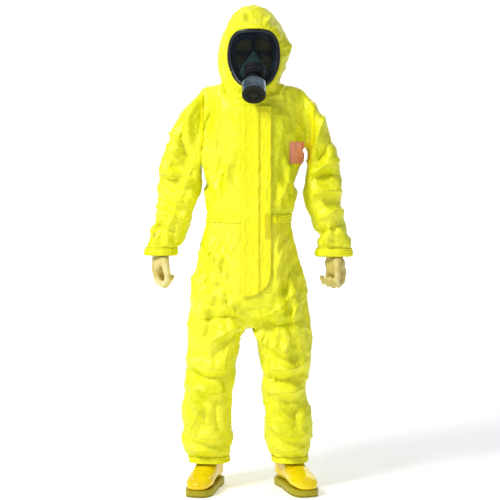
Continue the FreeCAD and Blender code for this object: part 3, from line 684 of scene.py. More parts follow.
# Seams and elastics.
# Seams are taped over with a glossier strip. The elastics are sewn into casings at the waist, cuffs
# and ankles, and gather them into fine pleats.
def band(name, made, low, high, towards, chosen, stand_off, thick=0.0008, ripple=None, finer=1):
    """A strip of the shell between two planes square to towards, stood off it and given a thickness."""
    towards = Vector(towards).normalized()
    select_only(shell)
    bpy.ops.object.duplicate()
    strip = bpy.context.object
    mesh = bmesh.new()
    mesh.from_mesh(strip.data)
    mesh.faces.ensure_lookup_table()
    bmesh.ops.delete(mesh, geom=[mesh.faces[int(i)] for i in np.nonzero(~chosen)[0]], context="FACES")
    mesh.to_mesh(strip.data)
    mesh.free()
    bpy.ops.object.mode_set(mode="EDIT")
    for place, way in ((low, -towards), (high, towards)):
        bpy.ops.mesh.select_all(action="SELECT")
        bpy.ops.mesh.bisect(plane_co=place, plane_no=way, clear_outer=True)
    bpy.ops.mesh.select_all(action="SELECT")
    for _ in range(finer):
        bpy.ops.mesh.subdivide(number_cuts=1, smoothness=0.6)
    bpy.ops.object.mode_set(mode="OBJECT")
    points, normals = read(strip), read(strip, "normal")
    rise = stand_off + (ripple(*points.T) if ripple else 0)
    write(strip, points + normals * np.reshape(rise, (-1, 1)))
    select_only(strip)
    wall = strip.modifiers.new("wall", "SOLIDIFY")
    wall.thickness = thick
    wall.offset = 0
    bpy.ops.object.modifier_apply(modifier="wall")
    strip.data.attributes.remove(strip.data.attributes["whole_normal"])
    return finish_piece(strip, name, made)


def pleated(centre_x, folds, depth, height_mid, half_height, flare=0.0):
    """Ripples round an upright elastic, deepest along its middle line."""
    def ripple(x, y, z):
        turn = np.arctan2(y - AXIS_Y, x - centre_x)
        fine = np.abs(np.sin(turn * folds / 2 + 1.3 * np.sin(turn * 7)))
        stitched = 0.4 * depth * np.cos((z - height_mid) / half_height * math.pi * 2.5)
        return depth * fine + stitched + flare * np.maximum(0, (height_mid - z) / half_height)
    return ripple


UP = Vector((0, 0, 1))
ELASTIC_HALF = (waist_high - waist_low) / 2
strip = band("waist_gathers", gathered, UP * (waist_low - 0.003), UP * (waist_high + 0.003), UP,
             is_trunk & (np.abs(fz - waist_mid) < 0.03), 0.0012,
             ripple=pleated(AXIS_X, 110, 0.0026, waist_mid, ELASTIC_HALF))
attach(strip, "torso")
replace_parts(strip, "waist_elastic")
for side, sign in SIGN.items():
    (x0, _, _), (x1, _, _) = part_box(side + "_cuff_elastic")
    arm_x = (x0 + x1) / 2
    low = CUFF_END[side]
    strip = band(side + "_cuff_gathers", gathered, UP * (low - 0.001), UP * (low + 0.026), UP,
                 is_sleeve[side] & (fz < low + 0.04) & (fz > low - 0.004), 0.0012,
                 ripple=pleated(arm_x, 70, 0.0024, low + 0.014, 0.013, 0.0010))
    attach(strip, side + "_forearm")
    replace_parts(strip, side + "_cuff_elastic")
    (x0, _, _), (x1, _, _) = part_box(side + "_ankle_elastic")
    strip = band(side + "_ankle_gathers", gathered, UP * (HEM_END - 0.001), UP * (HEM_END + 0.020), UP,
                 is_trunk & (sign * fx > 0) & (fz < HEM_END + 0.03) & (fz > HEM_END - 0.003), 0.0010,
                 ripple=pleated((x0 + x1) / 2, 80, 0.0022, HEM_END + 0.009, 0.010, 0.002))
    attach(strip, side + "_lower_leg")
    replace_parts(strip, side + "_ankle_elastic")
    edge = SLEEVE_EDGE[side][1][-1]
    strip = band(side + "_armhole_seam", seam_tape, Vector((sign * (edge - 0.015), 0, 0)),
                 Vector((sign * (edge - 0.001), 0, 0)), (sign, 0, 0),
                 is_trunk & (sign * fx > edge - 0.03) & (fz > 1.30), 0.0011)
    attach(strip, "torso")


# Face opening of the hood.
# An elastic cord in a turned hem draws the hood up against the face piece in tight gathers.
def outline_ring(around, section):
    """A ring to shape round the face piece: each point's turn, and its place across the section."""
    bpy.ops.object.select_all(action="DESELECT")
    bpy.ops.mesh.primitive_torus_add(major_segments=around, minor_segments=section, major_radius=1,
                                     minor_radius=0.25)
    ring = bpy.context.object
    points = read(ring)
    away = np.hypot(points[:, 0], points[:, 1]) - 1
    return ring, np.arctan2(points[:, 0], points[:, 1]), away / 0.25, points[:, 2] / 0.25


rim, turn, ring_out, ring_up = outline_ring(360, 14)
gather = np.abs(np.sin(turn * 34 + 2.0 * np.sin(turn * 5))) * (0.75 + 0.25 * np.sin(turn * 11))
reach_out = mask_reach(turn) + 0.0055 + ring_out * 0.0088 + (gather - 0.5) * 0.0030
reach_out = np.where(np.cos(turn) < -0.8, np.minimum(reach_out, 0.118), reach_out)
x = MASK_X + reach_out * np.sin(turn)
z = MASK_Z + reach_out * np.cos(turn)
y = mask_front(x, 0.004) + 0.006 - ring_up * (0.0080 + 0.0035 * gather)
write(rim, np.stack([x, y, z], axis=1))
finish_piece(rim, "face_gathers", gathered, "head")
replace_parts(rim, "hood_face_elastic")


# Storm flap.
# A double strip of the coverall's fabric, sewn down along its right edge. It stands up as a ridge over
# the zip and sticks down with an adhesive strip along its left edge.
FLAP_ROUND = 0.085                   # where the lower left corner starts to curve away
FLAP_SEAM = 0.016
zip_x = (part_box("zip_teeth")[0][0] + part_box("zip_teeth")[1][0]) / 2
bpy.ops.object.select_all(action="DESELECT")
bpy.ops.mesh.primitive_grid_add(x_subdivisions=64, y_subdivisions=230, size=2)
flap = bpy.context.object
points = read(flap)
u, v = (points[:, 0] + 1) / 2, (points[:, 1] + 1) / 2
z = flap_z0 + v * (flap_z1 - flap_z0)
drop = np.clip((flap_z0 + FLAP_ROUND - z) / FLAP_ROUND, 0, 1)
right_x = flap_x0 + (flap_x1 - flap_x0) * (0.04 + 0.96 * np.sqrt(1 - drop ** 2))
x = flap_x0 + u * (right_x - flap_x0)
from_edge = right_x - x
lift = 0.0052 * np.exp(-(np.abs(x - zip_x) / 0.0085) ** 4) * (drop < 1)
lift += 0.0011 * np.exp(-((x - flap_x0 - FLAP_SEAM / 2) / (FLAP_SEAM / 2)) ** 6)
lift += 0.0010 * np.exp(-((from_edge - 0.0125) / 0.010) ** 6)
PINCHES = (1.371, 1.295, 1.244, 1.214, 1.148, 1.055, 0.955, 0.880)
for pinch in PINCHES:
    tuck = np.exp(-((z - pinch - 0.10 * (x - right_x)) / 0.0035) ** 2)
    lift -= 0.0016 * tuck * np.exp(-(from_edge / 0.030) ** 2)
grain = np.stack([x, 0 * x, z * 0.7], axis=1)
lift += 0.0016 * (crests(grain, 0.05, 31) ** 2 - 0.3) + 0.0007 * (crests(grain, 0.02, 37) - 0.4)
wave = 0.0022 * np.sin(z * 31 + 1.2) * smoothstep(x, zip_x + 0.012, flap_x1)
write(flap, np.stack([x, flap_y0 + 0.0062 - lift - wave * 0.5, z], axis=1))
select_only(flap)
wall = flap.modifiers.new("wall", "SOLIDIFY")
wall.thickness = 0.0012
wall.offset = -1
bpy.ops.object.modifier_apply(modifier="wall")


def flap_material():
    """The coverall's web, with the taped seam, the ridge's fold, the stitched edge strip and a band of
    painted shade on the edge strip.
    """
    made = fabric_like("flap_fabric", FABRIC_YELLOW, FABRIC_SHADE, 0.42, 0.5)
    tree = made.node_tree
    shader = tree.nodes["Principled BSDF"]
    old = Sock(tree, shader.inputs["Base Color"].links[0].from_socket)
    at = Sock(tree, next(n for n in tree.nodes if n.type == "TEX_COORD").outputs["Object"])
    across = at.out("ShaderNodeSeparateXYZ", i0=at)
    along = at.out("ShaderNodeSeparateXYZ", output=2, i0=at)
    seam = 1 - across.step(flap_x0 + FLAP_SEAM - 0.001, flap_x0 + FLAP_SEAM + 0.001)
    edge = across.step(flap_x1 - 0.0245, flap_x1 - 0.0225) * along.step(flap_z0 + 0.05, flap_z0 + 0.09)
    ridge = 1 - (across - (zip_x + 0.004)).math("ABSOLUTE").step(0.004, 0.008)
    stitch = 1 - (across - (flap_x1 - 0.012)).math("ABSOLUTE").step(0.0008, 0.0022)
    dashes = (along * 150).math("FRACT").step(0.35, 0.6) * stitch * along.step(0.86, 0.88)
    strong = (seam.math("MAXIMUM", edge)).math("MAXIMUM", ridge * 0.75)
    tinted = strong.mix(old, (*SEAM_YELLOW, 1))
    marked = (dashes * 0.75).mix(tinted, (0.42, 0.33, 0.02, 1))
    # Painted shade: the edge strip is darkened to a brown yellow from 0.95 to 1.06 m up.
    painted_shade_band = along.step(0.950, 0.965) * (1 - along.step(1.045, 1.060)) * edge
    feed(shader, base_color=(painted_shade_band * 0.45).mix(marked, (0.50, 0.40, 0.004, 1)))
    return made


finish_piece(flap, "storm_flap_fabric", flap_material())
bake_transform(flap)
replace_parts(flap, "storm_flap")


def woven_strip(name, pale, deep, scale=900):
    made, shader, at = material(name, pale, 0.7)
    weave = at.out("ShaderNodeTexChecker", output=1, Vector=at, Scale=float(scale))
    fuzz = noise_of(at, 500, 3)
    feed(shader, base_color=(weave * 0.6 + fuzz * 0.4).mix((*deep, 1), (*pale, 1)),
         roughness=fuzz * 0.2 + 0.6, normal=bump(weave + fuzz * 0.5, 0.0003, 0.5))
    return made


adhesive = woven_strip("seal_strip", (0.86, 0.84, 0.62), (0.74, 0.70, 0.44), 400)


def adhesive_strip(name, back, thick, body):
    """The sticky strip along the flap's free edge, or its mate on the placket."""
    bpy.ops.object.select_all(action="DESELECT")
    bpy.ops.mesh.primitive_grid_add(x_subdivisions=6, y_subdivisions=150, size=2)
    strip = bpy.context.object
    points = read(strip)
    z = flap_z0 + FLAP_ROUND + (points[:, 1] + 1) / 2 * (flap_z1 - 0.010 - flap_z0 - FLAP_ROUND)
    x = flap_x1 - 0.0215 + (points[:, 0] + 1) / 2 * 0.018
    write(strip, np.stack([x, back + 0.0001 * np.sin(z * 300), z], axis=1))
    select_only(strip)
    wall = strip.modifiers.new("wall", "SOLIDIFY")
    wall.thickness = thick
    wall.offset = -1
    bpy.ops.object.modifier_apply(modifier="wall")
    return finish_piece(strip, name, adhesive, body)


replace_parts(adhesive_strip("flap_adhesive", flap_y0 + 0.0076, 0.0009, "flap"), "flap_seal_strip")
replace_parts(adhesive_strip("placket_adhesive", flap_y0 + 0.0090, 0.0028, "torso"), "placket_seal_strip")


# Placket.
# The stiffened strip behind the zip, sewn to both fronts of the bodice and stitched along its edges.
bpy.ops.object.select_all(action="DESELECT")
bpy.ops.mesh.primitive_grid_add(x_subdivisions=36, y_subdivisions=180, size=2)
placket = bpy.context.object
points = read(placket)
x = placket_x0 - 0.003 + (points[:, 0] + 1) / 2 * (placket_x1 - placket_x0 + 0.006)
z = placket_z0 + (points[:, 1] + 1) / 2 * (placket_z1 - placket_z0)
to_edge = np.minimum(x - x.min(), x.max() - x)
sink = 0.006 * (1 - smoothstep(to_edge, 0, 0.007)) + 0.0006 * near(to_edge, 0.010, 0.0012)
grain = np.stack([x, 0 * x, z], axis=1)
write(placket, np.stack([x, placket_y0 + sink + 0.0005 * crests(grain, 0.03, 41), z], axis=1))
select_only(placket)
wall = placket.modifiers.new("wall", "SOLIDIFY")
wall.thickness = 0.0012
wall.offset = -1
bpy.ops.object.modifier_apply(modifier="wall")
finish_piece(placket, "placket_fabric", fabric, "torso")
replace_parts(placket, "placket")


# Chest label and waist tab.
# The label is a printed patch bonded on the left breast: plain pale bars on orange. The tab is the
# folded end of the waist elastic, sewn down.
def patch_on_shell(name, node, made, stand_off, body="torso"):
    """A patch of the shell behind a flat window the size of the node, stood off the fabric."""
    (x0, _, z0), (x1, _, z1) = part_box(node)
    beside = (fx > x0 - 0.01) & (fx < x1 + 0.01) & (fz > z0 - 0.01) & (fz < z1 + 0.01)
    chosen = is_trunk & (fy < AXIS_Y) & beside
    patch = band(name, made, UP * z0, UP * z1, UP, chosen, stand_off, 0.0007, finer=0)
    select_only(patch)
    bpy.ops.object.mode_set(mode="EDIT")
    for place, way in ((x0, -1), (x1, 1)):
        bpy.ops.mesh.select_all(action="SELECT")
        bpy.ops.mesh.bisect(plane_co=(place, 0, 0), plane_no=(way, 0, 0), clear_outer=True, use_fill=True)
    bpy.ops.object.mode_set(mode="OBJECT")
    bpy.ops.object.shade_smooth_by_angle(angle=math.radians(40))
    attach(patch, body)
    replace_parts(patch, node)
    return patch


label_low, label_high = (Vector(corner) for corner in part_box("chest_label"))
label_ink, label_shader, at = material("label_orange", (0.88, 0.14, 0.006), 0.4, specular_ior_level=0.5)
across = (at.out("ShaderNodeSeparateXYZ", i0=at) - label_low.x) / (label_high.x - label_low.x)
along = (at.out("ShaderNodeSeparateXYZ", output=2, i0=at) - label_low.z) / (label_high.z - label_low.z)


def bar(left, right, low, high):
    soft = 0.012
    inside = across.step(left - soft, left + soft) * (1 - across.step(right - soft, right + soft))
    return inside * along.step(low - soft, low + soft) * (1 - along.step(high - soft, high + soft))


bars = bar(0.10, 0.36, 0.80, 0.87)
for left, right, low, high in ((0.58, 0.90, 0.80, 0.85), (0.34, 0.90, 0.66, 0.69), (0.42, 0.90, 0.47, 0.56),
                               (0.50, 0.90, 0.30, 0.35), (0.78, 0.90, 0.09, 0.14)):
    bars = bars.math("MAXIMUM", bar(left, right, low, high))
mottle = noise_of(at, 300, 2)
feed(label_shader,
     base_color=(bars * 0.75).mix(mottle.mix((0.84, 0.11, 0.003, 1), (0.90, 0.15, 0.006, 1)),
                                  (0.92, 0.80, 0.66, 1)),
     roughness=mottle * 0.15 + 0.33,
     normal=bump(mottle + bars * 0.6, 0.0003, 0.3))
patch_on_shell("chest_patch", "chest_label", label_ink, 0.0016)
patch_on_shell("waist_tab_loop", "waist_tab", seam_tape, 0.0052)


# Gloves.
# Dipped rubber gloves over loosely curled hands, with a beaded gauntlet inside the cuff.
glove_rubber, glove_shader, at = material("glove_rubber", (0.66, 0.52, 0.20), 0.42, specular_ior_level=0.5)
grain = noise_of(at, 420, 3, 0.6)
patchy = noise_of(at, 26, 3)
pores = at.out("ShaderNodeTexVoronoi", Vector=at, Scale=620.0)
feed(glove_shader,
     base_color=patchy.step(0.3, 0.7).mix((0.66, 0.54, 0.18, 1), (0.84, 0.75, 0.38, 1)),
     roughness=grain * 0.25 + 0.3,
     normal=bump(grain * 0.5 + pores * 0.5 + patchy * 0.8, 0.0012, 0.5))


def rounded_link(start, end, start_r, end_r, flat=1.0):
    """One closed finger bone: a tapered round bar with domed ends."""
    start, end = Vector(start), Vector(end)
    way = end - start
    bpy.ops.object.select_all(action="DESELECT")
    bpy.ops.mesh.primitive_uv_sphere_add(segments=20, ring_count=14, radius=1)
    link = bpy.context.object
    turn = way.to_track_quat("Z", "Y").to_matrix()
    for vertex in link.data.vertices:
        upper = vertex.co.z > 0
        radius = end_r if upper else start_r
        local = Vector((vertex.co.x * radius, vertex.co.y * radius * flat,
                        vertex.co.z * radius + (way.length if upper else 0)))
        vertex.co = start + turn @ local
    return link


def glove(side):
    sign = SIGN[side]
    (x0, _, _), (x1, _, _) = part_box(side + "_cuff_elastic")
    wrist = Vector(((x0 + x1) / 2 + sign * 0.001, AXIS_Y - 0.006, 0.900))
    turn = Matrix.Rotation(sign * math.radians(12 if side == "right" else 48), 3, "Z")

    def at_hand(inward, forward, down):
        """A point of the hand: inward to the thigh, forward along the row of knuckles, and down."""
        return wrist + turn @ Vector((-sign * inward, -forward, 0)) - UP * down

    links = [rounded_link(wrist + UP * 0.055, at_hand(0, 0, 0.012), 0.040, 0.031),
             rounded_link(at_hand(0, 0, 0.005), at_hand(-0.002, 0.002, 0.060), 0.031, 0.034),
             rounded_link(at_hand(-0.004, 0.022, 0.040), at_hand(-0.006, 0.026, 0.068), 0.021, 0.018),
             rounded_link(at_hand(-0.003, -0.022, 0.040), at_hand(-0.006, -0.024, 0.068), 0.021, 0.017)]
    for place, size in ((0.034, 1.02), (0.012, 1.08), (-0.011, 1.0), (-0.033, 0.88)):
        knuckle = at_hand(-0.010, place, 0.070)
        bend = at_hand(-0.006 + 0.004 * size, place * 1.03, 0.070 + 0.036 * size)
        tip_joint = at_hand(0.020, place * 1.03, 0.078 + 0.042 * size)
        tip = at_hand(0.036, place, 0.068 + 0.030 * size)
        links += [rounded_link(knuckle, bend, 0.0135 * size, 0.0125 * size),
                  rounded_link(bend, tip_joint, 0.0125 * size, 0.0115 * size),
                  rounded_link(tip_joint, tip, 0.0115 * size, 0.0100 * size)]
    links += [rounded_link(at_hand(0.012, 0.020, 0.020), at_hand(0.030, 0.042, 0.048), 0.020, 0.0155),
              rounded_link(at_hand(0.030, 0.042, 0.048), at_hand(0.038, 0.046, 0.080), 0.0150, 0.0130),
              rounded_link(at_hand(0.038, 0.046, 0.080), at_hand(0.036, 0.042, 0.102), 0.0130, 0.0110)]
    hand = fuse(links, 0.0022, 3)
    points, normals = read(hand), read(hand, "normal")
    ripple = crests(points, 0.016, 51) ** 2 * 0.0011 * smoothstep(points[:, 2], 0.80, 0.87)
    write(hand, points + normals * (ripple - 0.0003)[:, None])
    finish_piece(hand, side + "_rubber_glove", glove_rubber, side + "_forearm")
    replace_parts(hand, side + "_glove")


for side in SIGN:
    glove(side)


# Boots.
# Moulded rubber boots: a smooth glossy upper whose shaft goes up inside the trouser leg, and a paler
# cleated outsole bonded under it.
boot_rubber, boot_shader, at = material("boot_rubber", (0.95, 0.72, 0.004), 0.16, specular_ior_level=0.6)
boot_shader.inputs["Coat Weight"].default_value = 0.4
boot_shader.inputs["Coat Roughness"].default_value = 0.08
scuff = noise_of(at, 40, 5, 0.7)
dust = noise_of(at, 9, 3)
low_down = 1 - at.out("ShaderNodeSeparateXYZ", output=2, i0=at).step(0.03, 0.075)
feed(boot_shader,
     base_color=dust.step(0.3, 0.7).mix((0.90, 0.64, 0.003, 1), (0.97, 0.79, 0.005, 1)),
     roughness=scuff.step(0.5, 0.75) * 0.22 + low_down * 0.08 + 0.12,
     normal=bump(scuff * 0.5 + dust, 0.0008, 0.35))
sole_rubber, sole_shader, at = material("sole_rubber", (0.80, 0.70, 0.02), 0.45, specular_ior_level=0.45)
height_at = at.out("ShaderNodeSeparateXYZ", output=2, i0=at)
grit = noise_of(at, 180, 4, 0.65)
# The dark line round the sole 26 mm up is painted shadow where the upper meets the sole; the cleats are
# painted darker towards the bottom.
shade_painted_groove = 1 - (height_at - 0.0262).math("ABSOLUTE").step(0.0006, 0.0018)
tread = 1 - height_at.step(0.004, 0.010)
feed(sole_shader,
     base_color=shade_painted_groove.math("MAXIMUM", tread * 0.6).mix(
         grit.mix((0.70, 0.62, 0.012, 1), (0.86, 0.80, 0.05, 1)), (0.16, 0.12, 0.01, 1)),
     roughness=grit * 0.3 + 0.32,
     normal=bump(grit, 0.0006, 0.5))

# Rows along the foot from the heel: distance, inner edge, outer edge, underside, top, in millimetres.
FOOT = [
    (0, -16, 16, 36, 72), (8, -28, 28, 27, 92), (30, -38, 38, 24, 118), (60, -40, 41, 24, 136),
    (100, -39, 42, 24, 138), (135, -41, 45, 24, 118), (170, -45, 49, 24, 98), (205, -48, 51, 24, 84),
    (235, -48, 49, 24, 78), (262, -43, 43, 24, 70), (282, -30, 31, 26, 58), (292, -12, 13, 34, 46),
]
SHAFT = [(70, -36, 38, -34, 52), (100, -40, 42, -42, 56), (140, -44, 46, -46, 60), (220, -50, 50, -56, 60),
         (324, -53, 53, -59, 59)]
BOOT_TURN = {"right": -14.0, "left": 20.0}
HEEL_BACK = 0.089
SOLE_TOP = 0.028


def boot(side):
    (x0, _, _), (x1, _, _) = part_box(side + "_ankle_elastic")
    turn = Matrix.Rotation(math.radians(BOOT_TURN[side]), 3, "Z")
    ankle = Vector(((x0 + x1) / 2, AXIS_Y, 0))
    mirror = SIGN[side]

    def foot_place(place):
        """From a row's place, along z, to the foot: z runs forward from the heel and y is up."""
        return ankle + turn @ Vector((mirror * place.x, HEEL_BACK - place.z, place.y))

    def shaft_place(place):
        return ankle + turn @ Vector((mirror * place.x, place.y, place.z))

    foot = tube_skin([(s, a, b, low, high) for s, a, b, low, high in FOOT], 40, 0.006, 2.5, foot_place)
    shaft = tube_skin(SHAFT, 40, 0.010, 2.2, shaft_place)
    upper = fuse([foot, shaft], 0.0042, 7)
    subdivide(upper)
    points, normals = read(upper), read(upper, "normal")
    s = HEEL_BACK - ((points - np.array(ankle)) @ np.array(turn))[:, 1]
    z = points[:, 2]
    toe_cap = 0.0012 * near(s, 0.205, 0.004) + 0.0010 * near(z, 0.052, 0.0025) * (s > 0.02)
    creases = sum(0.0022 * near(s + 0.25 * (z - 0.09), place, 0.005) for place in (0.150, 0.166)) * (z > 0.07)
    counter = 0.0012 * near(z, 0.108, 0.003) * (s < 0.05)
    write(upper, points + normals * (toe_cap - creases + counter)[:, None])
    finish_piece(upper, side + "_boot_upper", boot_rubber, side + "_lower_leg")
    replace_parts(upper, side + "_boot")

    stations = np.arange(-0.002, 0.296, 0.006)
    table = np.array(FOOT, float) * MM
    grow = 0.0035
    inner = np.interp(stations, table[:, 0], table[:, 1]) - grow
    outer = np.interp(stations, table[:, 0], table[:, 2]) + grow
    bpy.ops.object.select_all(action="DESELECT")
    bpy.ops.mesh.primitive_grid_add(x_subdivisions=10, y_subdivisions=len(stations) - 1, size=2)
    sole = bpy.context.object
    for vertex in sole.data.vertices:
        t = (vertex.co.y + 1) / 2 * (len(stations) - 1)
        k = int(round(t))
        u = (vertex.co.x + 1) / 2
        vertex.co = (mirror * (inner[k] + u * (outer[k] - inner[k])), HEEL_BACK - stations[k], 0.0075)
    bpy.ops.object.mode_set(mode="EDIT")
    bpy.ops.mesh.select_all(action="SELECT")
    bpy.ops.mesh.extrude_region_move(TRANSFORM_OT_translate={"value": (0, 0, SOLE_TOP - 0.0075)})
    bpy.ops.mesh.select_all(action="SELECT")
    bpy.ops.mesh.normals_make_consistent(inside=False)
    bpy.ops.object.mode_set(mode="OBJECT")
    parts = [sole]
    for s in np.arange(0.012, 0.284, 0.0185):
        if 0.088 < s < 0.112:
            continue
        low, high = np.interp(s, stations, inner), np.interp(s, stations, outer)
        bpy.ops.object.select_all(action="DESELECT")
        bpy.ops.mesh.primitive_cube_add(size=1, location=(mirror * (low + high) / 2, HEEL_BACK - s, 0.0048),
                                        scale=(high - low - 0.004, 0.0115, 0.0094))
        cleat = bpy.context.object
        bpy.ops.object.transform_apply(location=True, rotation=True, scale=True)
        parts.append(cleat)
    select_only(sole)
    for part in parts:
        part.select_set(True)
    bpy.ops.object.join()
    rounded = sole.modifiers.new("rounded", "BEVEL")
    rounded.width = 0.0012
    rounded.segments = 2
    rounded.limit_method = "ANGLE"
    bpy.ops.object.modifier_apply(modifier="rounded")
    sole.matrix_world = Matrix.Translation(ankle) @ turn.to_4x4()
    finish_piece(sole, side + "_cleated_sole", sole_rubber, side + "_lower_leg", smooth=False)
    select_only(sole)
    bpy.ops.object.shade_smooth_by_angle(angle=math.radians(35))
    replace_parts(sole, side + "_outsole")


for side in SIGN:
    boot(side)


# Face piece frame and skirt.
# The lens is clamped all round in a moulded black rubber frame with a bead along it. A softer rubber
# skirt slopes in from the frame to seal on the face.
def moulded(name, pale, deep, rough, grain_scale=260, depth=0.0004, **fixed):
    """Moulded rubber or plastic: slight tone changes, fine grain and uneven gloss."""
    made, shader, at = material(name, pale, rough, **fixed)
    grain = noise_of(at, grain_scale, 3, 0.6)
    tone = noise_of(at, 24, 3)
    feed(shader, base_color=tone.step(0.3, 0.7).mix((*deep, 1), (*pale, 1)),
         roughness=grain * 0.16 + (rough - 0.06), normal=bump(grain, depth, 0.4))
    return made


black_rubber = moulded("black_rubber", (0.018, 0.021, 0.026), (0.010, 0.012, 0.016), 0.34,
                       specular_ior_level=0.6, coat_weight=0.25, coat_roughness=0.2)
seal_rubber = moulded("seal_rubber", (0.024, 0.046, 0.078), (0.012, 0.026, 0.046), 0.4, 160)


def squared(part):
    """Turns a round section's coordinate into a rounded square's."""
    return np.sign(part) * np.abs(part) ** 0.55


FRAME_IN, FRAME_HALF_WIDTH, FRAME_HALF_DEPTH = 0.0060, 0.0066, 0.0046
clamp, turn, ring_out, ring_up = outline_ring(320, 28)
reach_out = mask_reach(turn) - FRAME_IN + FRAME_HALF_WIDTH * squared(ring_out)
x = MASK_X + reach_out * np.sin(turn)
bead = 0.0016 * near(ring_out, 0.15, 0.30) * (ring_up > 0)
y = mask_front(x) + 0.0048 - FRAME_HALF_DEPTH * squared(ring_up) - bead
write(clamp, np.stack([x, y, MASK_Z + reach_out * np.cos(turn)], axis=1))
finish_piece(clamp, "lens_frame", black_rubber, "head")
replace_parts(clamp, "visor_frame")

bpy.ops.object.select_all(action="DESELECT")
bpy.ops.mesh.primitive_grid_add(x_subdivisions=240, y_subdivisions=20, size=2)
SKIRT_START, SKIRT_WIDTH = 0.006, 0.024
skirt = bpy.context.object
points = read(skirt)
turn, inward = points[:, 0] * math.pi, (points[:, 1] + 1) / 2
reach_in = mask_reach(turn) - SKIRT_START - SKIRT_WIDTH * inward + 0.0012 * np.sin(inward * 19)
x = MASK_X + reach_in * np.sin(turn)
slope = inward ** 1.3
y = mask_front(x, 0.008) * (1 - slope) - 0.004 * slope
write(skirt, np.stack([x, y, MASK_Z + reach_in * np.cos(turn)], axis=1))
bpy.ops.object.mode_set(mode="EDIT")
bpy.ops.mesh.select_all(action="SELECT")
bpy.ops.mesh.remove_doubles(threshold=0.0002)
bpy.ops.mesh.normals_make_consistent(inside=False)
bpy.ops.object.mode_set(mode="OBJECT")
wall = skirt.modifiers.new("wall", "SOLIDIFY")
wall.thickness = 0.0015
bpy.ops.object.modifier_apply(modifier="wall")
finish_piece(skirt, "face_skirt", seal_rubber, "head")
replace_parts(skirt, "face_seal")


# Half mask.
# A glossy moulded cup over the nose and mouth, open at the back, that sits behind the port inside
# the lens.
cup_rubber = moulded("nose_cup_rubber", (0.060, 0.125, 0.118), (0.034, 0.076, 0.074), 0.22, 160,
                     specular_ior_level=0.6, coat_weight=0.4, coat_roughness=0.12)
# Rows as for the shell.
CUP = [
    (1548, -30, 62, -118, -60), (1560, -38, 70, -130, -58), (1580, -36, 68, -134, -58),
    (1600, -26, 58, -130, -58), (1620, -12, 44, -118, -58), (1638, 2, 30, -102, -58),
    (1650, 10, 22, -88, -60),
]
CUP_BACK_Y = -0.020
cup = tube_skin(CUP, 64, 0.003, 2.3)
select_only(cup)
bpy.ops.object.mode_set(mode="EDIT")
bpy.ops.mesh.select_all(action="SELECT")
bpy.ops.mesh.bisect(plane_co=(0, CUP_BACK_Y, 0), plane_no=(0, 1, 0), clear_outer=True)
bpy.ops.object.mode_set(mode="OBJECT")
wall = cup.modifiers.new("wall", "SOLIDIFY")
wall.thickness = 0.0025
bpy.ops.object.modifier_apply(modifier="wall")
finish_piece(cup, "half_mask", cup_rubber, "head")
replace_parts(cup, "nose_cup")


# Lens, port, canister, harness and zip.
# These are the hard parts of the frame, kept as they are: a clear bent lens, a ribbed plastic port, a
# rolled metal canister with a slotted front, rubber straps, and a moulded zip on its tape.
def clear_lens():
    made, shader, at = material("clear_lens", (0.03, 0.04, 0.05), 0.03)
    smear = noise_of(at, 14, 4, 0.6)
    shader.inputs["Specular IOR Level"].default_value = 0.7
    feed(shader, alpha=smear * 0.06 + 0.13, roughness=smear * 0.05 + 0.02)
    return made


CAN_AXIS = (0.0, -0.680, -0.733)      # the canister's own axis


def rolled_metal():
    made, shader, at = material("bare_metal", (0.62, 0.64, 0.67), 0.25, metallic=1.0)
    along = at.out("ShaderNodeVectorMath", {"operation": "DOT_PRODUCT"}, output=1, i0=at, i1=CAN_AXIS)
    # The rolled grooves are painted near black: painted shade in the grooves.
    shade_painted_groove = 1 - ((along * 125.0).math("FRACT") - 0.5).math("ABSOLUTE").step(0.08, 0.24)
    brushed = noise_of(at, 240, 3, 0.6, (1, 1, 0.06))
    stain = noise_of(at, 30, 3)
    bare = stain.step(0.3, 0.7).mix((0.20, 0.26, 0.31, 1), (0.42, 0.50, 0.56, 1))
    feed(shader, base_color=(shade_painted_groove * 0.7).mix(bare, (0.07, 0.08, 0.09, 1)),
         roughness=brushed * 0.16 + 0.12, normal=bump(brushed * 0.15 - shade_painted_groove, 0.0010, 0.6))
    return made


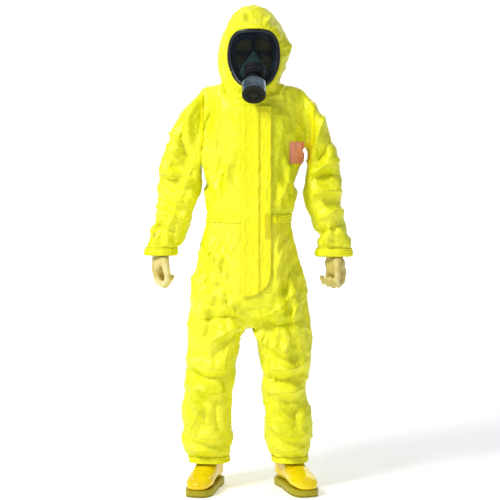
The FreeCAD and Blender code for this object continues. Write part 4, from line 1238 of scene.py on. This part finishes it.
def pleated_paper_painted_shade():
    made, shader, at = material("filter_paper", (0.80, 0.79, 0.72), 0.9)
    # The paper is painted darker in the pleats' hollows: painted shade.
    pleats = at.out("ShaderNodeTexWave", {"wave_type": "BANDS", "bands_direction": "X"},
                    Vector=at, Scale=90.0)
    fibres = noise_of(at, 500, 3)
    feed(shader, base_color=pleats.mix((0.62, 0.61, 0.55, 1), (0.84, 0.83, 0.77, 1)),
         roughness=fibres * 0.15 + 0.8, normal=bump(pleats + fibres * 0.3, 0.0015, 0.7))
    return made


def carbon_grains():
    made, shader, at = material("charcoal", (0.02, 0.02, 0.02), 0.6)
    grains = at.out("ShaderNodeTexVoronoi", Vector=at, Scale=700.0)
    feed(shader, base_color=grains.step(0.1, 0.7).mix((0.05, 0.05, 0.05, 1), (0.008, 0.008, 0.009, 1)),
         roughness=grains * 0.4 + 0.4, normal=bump(grains, 0.001, 0.8))
    return made


black_plastic = moulded("black_plastic", (0.014, 0.015, 0.016), (0.008, 0.009, 0.010), 0.42, 420)
olive_plastic = moulded("valve_plastic", (0.20, 0.22, 0.06), (0.13, 0.15, 0.04), 0.5)
zip_plastic = moulded("zip_plastic", (0.80, 0.72, 0.03), (0.66, 0.60, 0.02), 0.38, 500)
zip_cloth = woven_strip("zip_cloth", (0.80, 0.76, 0.03), (0.62, 0.58, 0.02))
strap = woven_strip("harness_rubber", (0.030, 0.032, 0.036), (0.014, 0.015, 0.018), 300)
metal, lens, paper, carbon = rolled_metal(), clear_lens(), pleated_paper_painted_shade(), carbon_grains()


FINISHES = {
    "visor": lens,
    "filter_port": black_plastic, "port_nut": black_plastic, "exhale_cover": black_rubber,
    "inhale_valve": olive_plastic, "exhale_disc": olive_plastic, "head_harness": strap,
    "harness_buckles": metal, "canister_washer": black_rubber, "canister_body": metal,
    "canister_front": black_plastic, "particle_filter": paper, "carbon_bed": carbon,
    "zip_tape": zip_cloth, "zip_teeth": zip_plastic, "zip_slider": zip_plastic, "zip_puller": zip_plastic,
}
for node, finish in FINISHES.items():
    cad_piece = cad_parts[node]
    for slot in cad_piece.material_slots:
        slot.material = finish


# Uncut shell.
# It is removed, and its panels stay.
bpy.data.objects.remove(shell)
